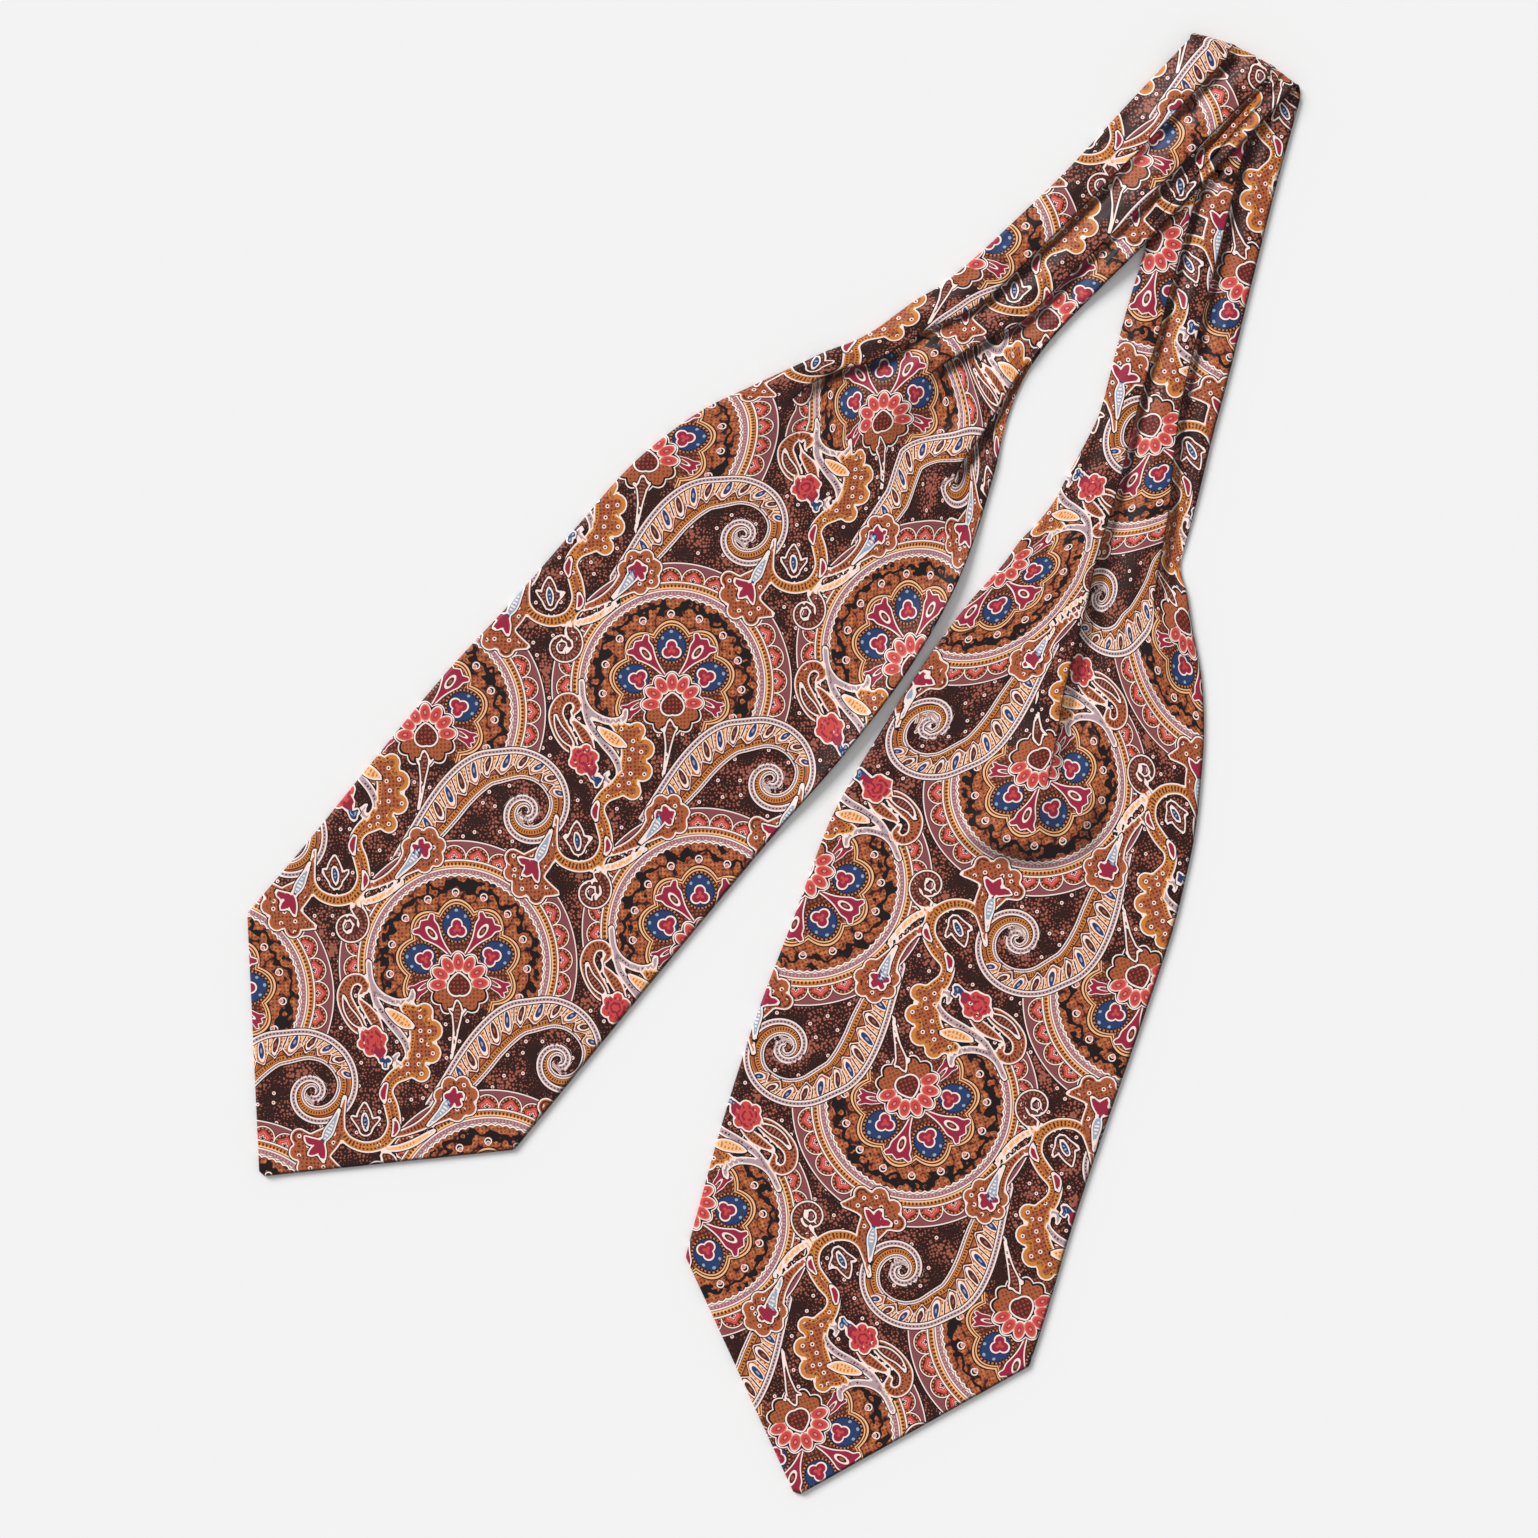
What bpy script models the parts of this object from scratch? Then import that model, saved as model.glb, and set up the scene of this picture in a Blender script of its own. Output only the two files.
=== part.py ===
"""A silk day cravat, folded in half at the neck and laid on a table.

Two pointed blades run down from a narrow neckband, whose cloth is pressed in three knife pleats. Each half
is a front and a backing of silk. The band is turned over itself at the middle of the neck, so the left half
lies on top of the right one there, and the blades fan out side by side below.

Each half has its own frame: x runs along it from the neck fold, y across it, and z up from the table.
Sizes are in millimetres, and SCALE turns them to metres.
"""

import math
from collections import namedtuple

import bmesh
import bpy

SCALE = 0.001

# The cloth: one layer of the doubled silk, and the air between two layers
WALL = 1.0
GAP = 0.3
LAYER = WALL + GAP

# The knife pleats: how far each one is tucked under its neighbour, and the width of a folded edge's drop
TUCK = 6.0
TUCK_ROOM = 0.6
DROP = 0.5

# A pleated band is its backing and two more layers where the pleats overlap
BAND_HEIGHT = 2 * LAYER + WALL
FRONT_LOW = LAYER + WALL

# The left band rides over the right one, then comes down to the table beside it
LIFT = BAND_HEIGHT + GAP
LIFT_MARGIN = 1.5
LIFT_FALL = 22.0

# The neck fold: its middle, the corners of its line from there, pressed and open, and how far it bows out
FOLD_CENTRE = (194.5, 288.25)
FOLD_PRESSED = (-21.3, 10.7)
FOLD_OPEN = (20.1, -10.2)
FOLD_BOW = 3.0
TURN_INSET = 1.9
TURN_COLUMNS = 14
TURN_STEPS = 10

# Spacing of the cross-sections, close where the cloth is pleated and wide where it lies flat, and the length
# in which the lines along the cloth spread out, once the last pleat has opened
BAND_STEP = 10.0
FAN_STEP = 8.0
BLADE_STEP = 24.0
OPENING = 40.0
POINT_STEP = 16.0
BACKING_COLUMNS = 13
PLEAT_COLUMNS = 5
TIP_WIDTH = 3.0

Edge = namedtuple("Edge", "along left right")
Fold = namedtuple("Fold", "along across height reach")
Swell = namedtuple("Swell", "along across length width height")
Half = namedtuple("Half", "name heading start stitch flat tip edges pleats swells")

# Both edges of the left half, from the neck fold to the corners of its point
LEFT_EDGES = (
    Edge(along=0.0, left=-23.4, right=21.7),
    Edge(along=40.0, left=-25.0, right=20.2),
    Edge(along=83.0, left=-25.9, right=18.5),
    Edge(along=112.0, left=-28.1, right=16.4),
    Edge(along=137.0, left=-30.6, right=15.3),
    Edge(along=152.5, left=-33.2, right=16.4),
    Edge(along=163.0, left=-36.7, right=18.7),
    Edge(along=173.0, left=-39.0, right=22.3),
    Edge(along=183.0, left=-41.2, right=27.3),
    Edge(along=193.0, left=-44.7, right=33.0),
    Edge(along=203.5, left=-50.4, right=38.1),
    Edge(along=213.5, left=-54.7, right=42.8),
    Edge(along=234.0, left=-63.6, right=51.0),
    Edge(along=254.0, left=-72.0, right=56.6),
    Edge(along=275.0, left=-77.1, right=60.7),
    Edge(along=295.0, left=-79.5, right=63.1),
    Edge(along=325.0, left=-79.3, right=64.8),
    Edge(along=366.0, left=-78.9, right=65.0),
    Edge(along=407.0, left=-79.7, right=66.2),
    Edge(along=457.5, left=-77.9, right=67.9),
    Edge(along=498.0, left=-76.1, right=69.5),
    Edge(along=533.5, left=-75.3, right=70.9),
)

# The right half's left edge is hidden under the left band down to along=84
RIGHT_EDGES = (
    Edge(along=0.0, left=-19.6, right=24.9),
    Edge(along=41.0, left=-18.2, right=26.4),
    Edge(along=84.0, left=-16.8, right=29.0),
    Edge(along=113.0, left=-16.4, right=31.0),
    Edge(along=134.0, left=-15.2, right=32.2),
    Edge(along=155.0, left=-14.1, right=33.2),
    Edge(along=165.0, left=-15.2, right=34.0),
    Edge(along=185.0, left=-18.9, right=35.3),
    Edge(along=195.5, left=-20.7, right=35.7),
    Edge(along=206.0, left=-24.4, right=36.4),
    Edge(along=216.0, left=-29.3, right=42.6),
    Edge(along=226.7, left=-32.8, right=48.0),
    Edge(along=247.0, left=-41.8, right=58.8),
    Edge(along=267.5, left=-49.0, right=66.4),
    Edge(along=288.0, left=-54.9, right=71.5),
    Edge(along=309.0, left=-60.3, right=75.6),
    Edge(along=330.0, left=-65.2, right=77.7),
    Edge(along=350.0, left=-68.7, right=78.9),
    Edge(along=391.5, left=-70.7, right=78.3),
    Edge(along=432.5, left=-73.0, right=77.1),
    Edge(along=474.0, left=-73.2, right=76.5),
    Edge(along=515.0, left=-71.8, right=77.3),
    Edge(along=537.0, left=-70.7, right=77.1),
)

# The folded edges of the pleats. Each stands height above the cloth to its right, and the rise reaches back
# under the pleat to its left. The last row is where the pleat has opened out.
LEFT_PLEATS = (
    (
        Fold(along=0.0, across=-6.7, height=LAYER, reach=15.0),
        Fold(along=72.5, across=-9.8, height=LAYER, reach=15.0),
        Fold(along=136.5, across=-14.4, height=LAYER, reach=14.0),
        Fold(along=151.5, across=-17.2, height=1.6, reach=14.0),
        Fold(along=170.5, across=-25.4, height=2.0, reach=13.0),
        Fold(along=193.0, across=-32.4, height=2.2, reach=12.0),
        Fold(along=205.5, across=-40.6, height=1.8, reach=12.0),
        Fold(along=217.5, across=-45.9, height=1.0, reach=12.0),
        Fold(along=230.0, across=-48.0, height=0.0, reach=12.0),
    ),
    (
        Fold(along=0.0, across=10.8, height=LAYER, reach=15.0),
        Fold(along=53.0, across=7.8, height=LAYER, reach=15.0),
        Fold(along=125.0, across=2.9, height=LAYER, reach=14.0),
        Fold(along=139.5, across=2.0, height=1.5, reach=13.0),
        Fold(along=156.5, across=-4.1, height=2.2, reach=12.5),
        Fold(along=169.0, across=-8.6, height=2.6, reach=14.0),
        Fold(along=178.0, across=-11.2, height=1.2, reach=16.0),
        Fold(along=186.0, across=-13.0, height=0.0, reach=16.0),
    ),
    (
        Fold(along=137.0, across=14.0, height=0.0, reach=10.0),
        Fold(along=150.0, across=14.6, height=0.4, reach=10.0),
        Fold(along=161.0, across=15.2, height=1.4, reach=12.0),
        Fold(along=184.5, across=19.7, height=1.6, reach=15.0),
        Fold(along=201.0, across=21.6, height=1.3, reach=18.0),
        Fold(along=214.0, across=25.5, height=0.0, reach=18.0),
    ),
)

RIGHT_PLEATS = (
    (
        Fold(along=0.0, across=-4.6, height=LAYER, reach=13.5),
        Fold(along=71.0, across=-2.9, height=LAYER, reach=12.5),
        Fold(along=122.5, across=-0.8, height=LAYER, reach=13.5),
        Fold(along=149.0, across=0.2, height=LAYER, reach=13.5),
        Fold(along=185.5, across=2.5, height=1.6, reach=17.0),
        Fold(along=209.0, across=2.6, height=1.9, reach=22.0),
        Fold(along=236.0, across=4.9, height=2.0, reach=24.0),
        Fold(along=267.5, across=6.6, height=2.0, reach=24.0),
        Fold(along=290.5, across=9.8, height=1.7, reach=22.0),
        Fold(along=310.0, across=11.5, height=0.0, reach=20.0),
    ),
    (
        Fold(along=0.0, across=8.6, height=LAYER, reach=12.5),
        Fold(along=38.5, across=9.8, height=LAYER, reach=12.5),
        Fold(along=70.5, across=11.9, height=LAYER, reach=13.5),
        Fold(along=141.0, across=16.4, height=LAYER, reach=15.0),
        Fold(along=165.0, across=20.5, height=1.6, reach=16.0),
        Fold(along=185.5, across=25.0, height=1.9, reach=18.0),
        Fold(along=210.0, across=28.3, height=1.3, reach=20.0),
        Fold(along=232.0, across=32.0, height=0.0, reach=20.0),
    ),
)

# Where the released cloth stands up in a soft puff, and the low crown of each blade
LEFT_SWELLS = (
    Swell(along=196.0, across=-16.0, length=34.0, width=17.0, height=1.4),
    Swell(along=236.0, across=-46.0, length=30.0, width=24.0, height=1.0),
    Swell(along=224.0, across=20.0, length=40.0, width=24.0, height=0.9),
    Swell(along=390.0, across=-6.0, length=150.0, width=58.0, height=1.2),
)
RIGHT_SWELLS = (
    Swell(along=306.0, across=9.0, length=40.0, width=34.0, height=2.3),
    Swell(along=240.0, across=38.0, length=34.0, width=17.0, height=1.2),
    Swell(along=232.0, across=-16.0, length=40.0, width=16.0, height=0.9),
    Swell(along=410.0, across=3.0, length=140.0, width=60.0, height=1.1),
)

# start is where each band meets the neck turn, at its left and its right edge; stitch is the row of stitches
# that ends the pressed pleats; flat is where the cloth lies flat
LEFT = Half(
    name="left",
    heading=math.radians(228.46),
    start=(9.7, -0.7),
    stitch=137.0,
    flat=272.0,
    tip=(611.0, 0.0),
    edges=LEFT_EDGES,
    pleats=LEFT_PLEATS,
    swells=LEFT_SWELLS,
)
RIGHT = Half(
    name="right",
    heading=math.radians(252.31),
    start=(0.5, 9.0),
    stitch=155.0,
    flat=352.0,
    tip=(617.0, 2.1),
    edges=RIGHT_EDGES,
    pleats=RIGHT_PLEATS,
    swells=RIGHT_SWELLS,
)

# How many of the pleats' folded edges run the whole length of the band
BAND_FOLDS = 2


def ease(x):
    """Rises from 0 to 1 with a soft start and end."""
    x = min(max(x, 0.0), 1.0)
    return x * x * (3.0 - 2.0 * x)


def mix(a, b, share):
    return a + (b - a) * share


def read(table, along, column):
    """A column of a table, on a smooth curve through its rows."""
    spots = [row.along for row in table]
    values = [getattr(row, column) for row in table]
    if along <= spots[0]:
        return values[0]
    if along >= spots[-1]:
        return values[-1]
    k = max(i for i, spot in enumerate(spots) if spot <= along)
    slopes = []
    for i in (k, k + 1):
        before = max(i - 1, 0)
        after = min(i + 1, len(spots) - 1)
        slopes.append((values[after] - values[before]) / (spots[after] - spots[before]))
    span = spots[k + 1] - spots[k]
    x = (along - spots[k]) / span
    step = values[k] + (values[k + 1] - values[k]) * x * x * (3.0 - 2.0 * x)
    return step + span * x * (1.0 - x) * (slopes[0] * (1.0 - x) - slopes[1] * x)


def edges_at(half, along):
    """The left and the right edge: from the table down to the corners, then straight to the point."""
    corner = half.edges[-1]
    if along <= corner.along:
        return read(half.edges, along, "left"), read(half.edges, along, "right")
    share = (along - corner.along) / (half.tip[0] - corner.along)
    return mix(corner.left, half.tip[1], share), mix(corner.right, half.tip[1], share)


def start_at(half, along, across):
    """Slants the sections of a band towards the neck fold, where they lie along its line."""
    left, right = edges_at(half, 0.0)
    slanted = mix(half.start[0], half.start[1], (across - left) / (right - left))
    level = sum(half.start) / 2
    turned = ease(1.0 - (along - level) / (half.stitch - level))
    return along + (slanted - level) * turned


def pleat_rise(fold_rows, along, across):
    """The height of one pleat: full beside its folded edge, easing out to its left, with a drop to its right."""
    back = read(fold_rows, along, "across") - across
    height = read(fold_rows, along, "height")
    if back < 0.0:
        return height * max(0.0, 1.0 + back / DROP)
    reach = read(fold_rows, along, "reach")
    level = min(TUCK + TUCK_ROOM, reach / 2)
    return height * ease((reach - back) / (reach - level))


def swell_rise(half, along, across):
    """The soft puffs and the crown of a blade."""
    total = 0.0
    for swell in half.swells:
        x = (along - swell.along) / swell.length
        y = (across - swell.across) / swell.width
        total += swell.height * ease(1.0 - math.hypot(x, y))
    return total


def front_top(half, along, across):
    """The upper side of a blade's front."""
    pleats = sum(pleat_rise(rows, along, across) for rows in half.pleats)
    return FRONT_LOW + pleats + swell_rise(half, along, across)


def lift(half, along, across):
    """How far the left band is carried off the table by the right one under it."""
    if half is RIGHT:
        return 0.0
    turn = LEFT.heading - RIGHT.heading
    along_right = along * math.cos(turn) - across * math.sin(turn)
    across_right = along * math.sin(turn) + across * math.cos(turn)
    clear = edges_at(RIGHT, along_right)[0] - LIFT_MARGIN - across_right
    return LIFT * (1.0 - ease(clear / LIFT_FALL))


def spaced(first, last, step):
    """Evenly spaced values from first to last, at most step apart."""
    count = math.ceil((last - first) / step)
    return [mix(first, last, i / count) for i in range(count + 1)]


def spread(first, last, count):
    """A given number of evenly spaced values, both ends included."""
    return [mix(first, last, i / (count - 1)) for i in range(count)]


def band_rows(half):
    return spaced(sum(half.start) / 2 + GAP, half.stitch - GAP / 2, BAND_STEP)


def blade_rows(half):
    """The cross-sections of a blade, from the row of stitches to the blunt end of its point."""
    corner = half.edges[-1]
    width = corner.right - corner.left
    end = half.tip[0] - (half.tip[0] - corner.along) * TIP_WIDTH / width
    fan = spaced(half.stitch + GAP / 2, half.flat, FAN_STEP)
    blade = spaced(half.flat, corner.along, BLADE_STEP)
    point = spaced(corner.along, end, POINT_STEP)
    return fan + blade[1:] + point[1:]


def blade_columns(half, along):
    """Where the lengthwise lines of a blade cross a section: two at each fold, and evenly spread once the
    pleats have opened."""
    left, right = edges_at(half, along)
    columns = []
    begin = left
    for rows in half.pleats:
        fold = read(rows, along, "across")
        level = min(TUCK + TUCK_ROOM, (fold - begin) / 2)
        columns += [mix(begin, fold - level, share) for share in (0.0, 1 / 3, 2 / 3)]
        columns += [fold - level, fold - level / 2, fold]
        begin = fold + DROP
    columns += [mix(begin, right, share) for share in (0.0, 0.35, 0.7, 1.0)]
    count = len(columns) - 1
    opened = ease(1.0 - (half.flat - along) / OPENING)
    return [mix(x, mix(left, right, i / count), opened) for i, x in enumerate(columns)]


def silk(name, colour):
    """Printed silk twill with a soft sheen."""
    material = bpy.data.materials.new(name)
    material.use_nodes = True
    shader = material.node_tree.nodes["Principled BSDF"]
    shader.inputs["Base Color"].default_value = colour
    shader.inputs["Roughness"].default_value = 0.5
    shader.inputs["Metallic"].default_value = 0.0
    return material


def add_piece(name, data, material, frame):
    """Puts a piece in the cravat's collection, in the frame of its half."""
    piece = bpy.data.objects.new(name, data)
    data.materials.append(material)
    bpy.data.collections["silk_cravat"].objects.link(piece)
    piece.parent = frame
    return piece


def add_sheet(name, size, point, material, frame):
    """A sheet of cloth: a grid whose points go where point(i, j) says, with its wall on the inner side."""
    rows, columns = size
    bm = bmesh.new()
    bmesh.ops.create_grid(bm, x_segments=rows - 1, y_segments=columns - 1, size=1.0)
    for vert in bm.verts:
        i = round((vert.co.x + 1.0) / 2.0 * (rows - 1))
        j = round((vert.co.y + 1.0) / 2.0 * (columns - 1))
        vert.co = [value * SCALE for value in point(i, j)]
    mesh = bpy.data.meshes.new(name)
    bm.to_mesh(mesh)
    bm.free()
    mesh.shade_smooth()
    mesh.set_sharp_from_angle(angle=math.radians(40))
    piece = add_piece(name, mesh, material, frame)
    wall = piece.modifiers.new("Wall", "SOLIDIFY")
    wall.thickness = WALL * SCALE
    wall.offset = -1.0
    wall.use_even_offset = True
    wall.use_quality_normals = True
    return piece


def add_flat_panel(name, outline, material, frame):
    """A panel that lies flat on the table: its outline, filled and given the thickness of the cloth."""
    curve = bpy.data.curves.new(name, "CURVE")
    curve.dimensions = "2D"
    curve.fill_mode = "BOTH"
    curve.extrude = WALL * SCALE / 2
    spline = curve.splines.new("POLY")
    spline.points.add(len(outline) - 1)
    for point, (along, across) in zip(spline.points, outline):
        point.co = (along * SCALE, across * SCALE, 0.0, 1.0)
    spline.use_cyclic_u = True
    piece = add_piece(name, curve, material, frame)
    piece.location.z = WALL * SCALE / 2
    return piece


def add_blade(half, material, backing, frame):
    """The blade's backing, flat on the table, and its front with the opened pleats."""
    rows = blade_rows(half)
    left = [(along, edges_at(half, along)[0]) for along in rows]
    right = [(along, edges_at(half, along)[1]) for along in rows]
    add_flat_panel(f"{half.name}_blade_back", left + right[::-1], backing, frame)

    def point(i, j):
        across = blade_columns(half, rows[i])[j]
        return rows[i], across, front_top(half, rows[i], across)

    size = (len(rows), len(blade_columns(half, rows[0])))
    add_sheet(f"{half.name}_blade_front", size, point, material, frame)


def add_band_sheet(half, name, columns_at, top, material, frame):
    """One layer of a pleated band, from the neck turn to the row of stitches."""
    rows = band_rows(half)

    def point(i, j):
        nominal = columns_at(rows[i])[j]
        along = start_at(half, rows[i], nominal)
        across = columns_at(along)[j]
        return along, across, lift(half, along, across) + top(along, across)

    add_sheet(name, (len(rows), len(columns_at(rows[0]))), point, material, frame)


def add_band(half, material, backing, frame):
    """The neckband of one half: its backing and three knife pleats, each tucked under the one to its left."""

    def backing_columns(along):
        return spread(*edges_at(half, along), BACKING_COLUMNS)

    add_band_sheet(half, f"{half.name}_band_back", backing_columns, lambda s, t: WALL, backing, frame)

    for number in range(BAND_FOLDS + 1):

        def pleat_columns(along, number=number):
            left, right = edges_at(half, along)
            tucked = []
            if number > 0:
                left = read(half.pleats[number - 1], along, "across")
                tucked = [left - TUCK]
                left += DROP
            if number == BAND_FOLDS:
                return tucked + spread(left, right, PLEAT_COLUMNS)
            fold = read(half.pleats[number], along, "across")
            level = fold - TUCK - TUCK_ROOM
            return tucked + spread(left, level, PLEAT_COLUMNS) + [fold - TUCK / 2, fold]

        def pleat_top(along, across, number=number):
            if number == BAND_FOLDS:
                return FRONT_LOW
            return FRONT_LOW + pleat_rise(half.pleats[number], along, across)

        name = f"{half.name}_band_pleat_{number + 1}"
        add_band_sheet(half, name, pleat_columns, pleat_top, material, frame)


def to_table(half, along, across):
    """A point of a half's frame, on the table."""
    x = FOLD_CENTRE[0] + along * math.cos(half.heading) - across * math.sin(half.heading)
    y = FOLD_CENTRE[1] + along * math.sin(half.heading) + across * math.cos(half.heading)
    return x, y


def add_neck_turn(name, inset, material):
    """One layer of the neck turn: a half ellipse from the left band's end, round the fold, to the right's.

    The outer layer joins the left front to the right backing, and the inner one the left backing to the
    right front. Each is open at both ends.
    """
    outer = inset == 0.0

    def point(i, j):
        share = i / (TURN_COLUMNS - 1)
        angle = math.pi * j / (TURN_STEPS - 1)
        ends = []
        for half in (LEFT, RIGHT):
            left, right = edges_at(half, 0.0)
            ends.append((half, mix(*half.start, share), mix(left, right, share)))
        upper = to_table(*ends[0])
        lower = to_table(*ends[1])
        half, along, across = ends[0]
        top = lift(half, along, across) + WALL
        low = LAYER
        if outer:
            top += LAYER + max(pleat_rise(rows, along, across) for rows in half.pleats[:BAND_FOLDS])
            low = 0.0
        middle = [(a + b) / 2 for a, b in zip(upper, lower)]
        fold = [c + mix(a, b, share) for a, b, c in zip(FOLD_PRESSED, FOLD_OPEN, FOLD_CENTRE)]
        depth = math.dist(fold, middle) + FOLD_BOW * math.sin(math.pi * share)
        reach = (depth - inset) / math.dist(fold, middle)
        plan = [
            m + (f - m) * reach * math.sin(angle) + (u - m) * math.cos(angle)
            for m, f, u in zip(middle, fold, upper)
        ]
        return plan[0], plan[1], (top + low) / 2 + (top - low) / 2 * math.cos(angle)

    add_sheet(name, (TURN_COLUMNS, TURN_STEPS), point, material, None)


def main():
    for old in list(bpy.data.objects):
        bpy.data.objects.remove(old)
    collection = bpy.data.collections.new("silk_cravat")
    bpy.context.scene.collection.children.link(collection)
    front = silk("printed silk", (0.10, 0.035, 0.018, 1.0))
    backing = silk("printed silk backing", (0.07, 0.025, 0.015, 1.0))
    for half in (LEFT, RIGHT):
        frame = bpy.data.objects.new(f"{half.name}_half", None)
        collection.objects.link(frame)
        frame.location = [value * SCALE for value in FOLD_CENTRE] + [0.0]
        frame.rotation_euler.z = half.heading
        add_band(half, front, backing, frame)
        add_blade(half, front, backing, frame)
    add_neck_turn("neck_turn_outer", 0.0, front)
    add_neck_turn("neck_turn_inner", TURN_INSET, backing)


main()
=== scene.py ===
# %% [markdown]
# # A silk day cravat, folded at the neck and laid on a table
#
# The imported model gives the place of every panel. This lesson dresses it: four sheets of silk follow the solids,
# with real turned edges at the pleats, and a printed material draws the pattern from formulas. Lengths in the
# tables are in millimetres, as a cutter would write them, and MM turns them to Blender's metres.

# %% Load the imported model
import math
from collections import namedtuple

import bpy
import numpy as np
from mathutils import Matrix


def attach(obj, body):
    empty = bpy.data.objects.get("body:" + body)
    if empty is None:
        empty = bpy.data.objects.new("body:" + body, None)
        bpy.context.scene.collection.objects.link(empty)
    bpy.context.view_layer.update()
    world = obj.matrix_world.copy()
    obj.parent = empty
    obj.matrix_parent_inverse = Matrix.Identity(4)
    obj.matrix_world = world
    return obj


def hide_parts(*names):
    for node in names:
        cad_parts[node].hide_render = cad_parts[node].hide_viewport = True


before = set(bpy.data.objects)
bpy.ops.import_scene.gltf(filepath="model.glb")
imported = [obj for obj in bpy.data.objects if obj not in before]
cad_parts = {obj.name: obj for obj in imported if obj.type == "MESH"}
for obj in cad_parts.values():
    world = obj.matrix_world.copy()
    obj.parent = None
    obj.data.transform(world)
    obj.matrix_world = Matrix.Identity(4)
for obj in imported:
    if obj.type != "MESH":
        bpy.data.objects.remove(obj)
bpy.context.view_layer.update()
bpy.ops.object.select_all(action="DESELECT")
MM = 0.001
print("panels in the packed model:", len(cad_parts))

# %% [markdown]
# ## Where the camera stands
#
# The cravat was photographed from straight above, so the camera looks straight down. A long lens from two
# metres keeps the sides of the cloth out of sight, as the photograph does.

# %% Camera
VIEW_WIDTH = 630.6 * MM
VIEW_CENTRE = (-1.85 * MM, -1.99 * MM)
CAMERA_HEIGHT = 2.0
bpy.ops.object.camera_add(location=(*VIEW_CENTRE, CAMERA_HEIGHT), rotation=(0.0, 0.0, 0.0))
camera = bpy.context.object
camera.data.sensor_width = 36.0
camera.data.lens = camera.data.sensor_width * CAMERA_HEIGHT / VIEW_WIDTH
camera.data.clip_start = 0.01
camera.data.clip_end = 20.0
bpy.context.scene.camera = camera
print("lens:", round(camera.data.lens, 1), "mm")

# %% [markdown]
# ## The cravat's own sizes
#
# Each half has its own frame: along runs from the neck fold to the point, across runs from the left edge to the
# right one, and heights are above the table. The tables say where the edges lie, and where the folded edges of
# the knife pleats run, how high they stand, and how far the rise reaches back.

# %% The two halves
Edge = namedtuple("Edge", "along left right")
Fold = namedtuple("Fold", "along across height reach hides")
Swell = namedtuple("Swell", "along across length width height")
Half = namedtuple("Half", "name heading start stitch flat tip edges pleats swells")

LAYER = 1.3
FRONT_LOW = 2.3

LEFT_EDGES = (
    Edge(0.0, -23.4, 21.7),
    Edge(40.0, -25.0, 20.2),
    Edge(83.0, -25.9, 18.5),
    Edge(112.0, -28.1, 16.4),
    Edge(137.0, -30.6, 15.3),
    Edge(152.5, -33.2, 16.4),
    Edge(163.0, -36.7, 18.7),
    Edge(173.0, -39.0, 22.3),
    Edge(183.0, -41.2, 27.3),
    Edge(193.0, -44.7, 33.0),
    Edge(203.5, -50.4, 38.1),
    Edge(213.5, -54.7, 42.8),
    Edge(234.0, -63.6, 51.0),
    Edge(254.0, -72.0, 56.6),
    Edge(275.0, -77.1, 60.7),
    Edge(295.0, -79.5, 63.1),
    Edge(325.0, -79.3, 64.8),
    Edge(366.0, -78.9, 65.0),
    Edge(407.0, -79.7, 66.2),
    Edge(457.5, -77.9, 67.9),
    Edge(498.0, -76.1, 69.5),
    Edge(533.5, -75.3, 70.9),
)
RIGHT_EDGES = (
    Edge(0.0, -19.6, 24.9),
    Edge(41.0, -18.2, 26.4),
    Edge(84.0, -16.8, 29.0),
    Edge(113.0, -16.4, 31.0),
    Edge(134.0, -15.2, 32.2),
    Edge(155.0, -14.1, 33.2),
    Edge(165.0, -15.2, 34.0),
    Edge(185.0, -18.9, 35.3),
    Edge(195.5, -20.7, 35.7),
    Edge(206.0, -24.4, 36.4),
    Edge(216.0, -29.3, 42.6),
    Edge(226.7, -32.8, 48.0),
    Edge(247.0, -41.8, 58.8),
    Edge(267.5, -49.0, 66.4),
    Edge(288.0, -54.9, 71.5),
    Edge(309.0, -60.3, 75.6),
    Edge(330.0, -65.2, 77.7),
    Edge(350.0, -68.7, 78.9),
    Edge(391.5, -70.7, 78.3),
    Edge(432.5, -73.0, 77.1),
    Edge(474.0, -73.2, 76.5),
    Edge(515.0, -71.8, 77.3),
    Edge(537.0, -70.7, 77.1),
)

# %% [markdown]
# ## The knife pleats
#
# A pleat hides the cloth that is folded under it. The last column says what share of all the hidden cloth each
# fold takes, which moves the print along by that much from one strip to the next.

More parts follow.
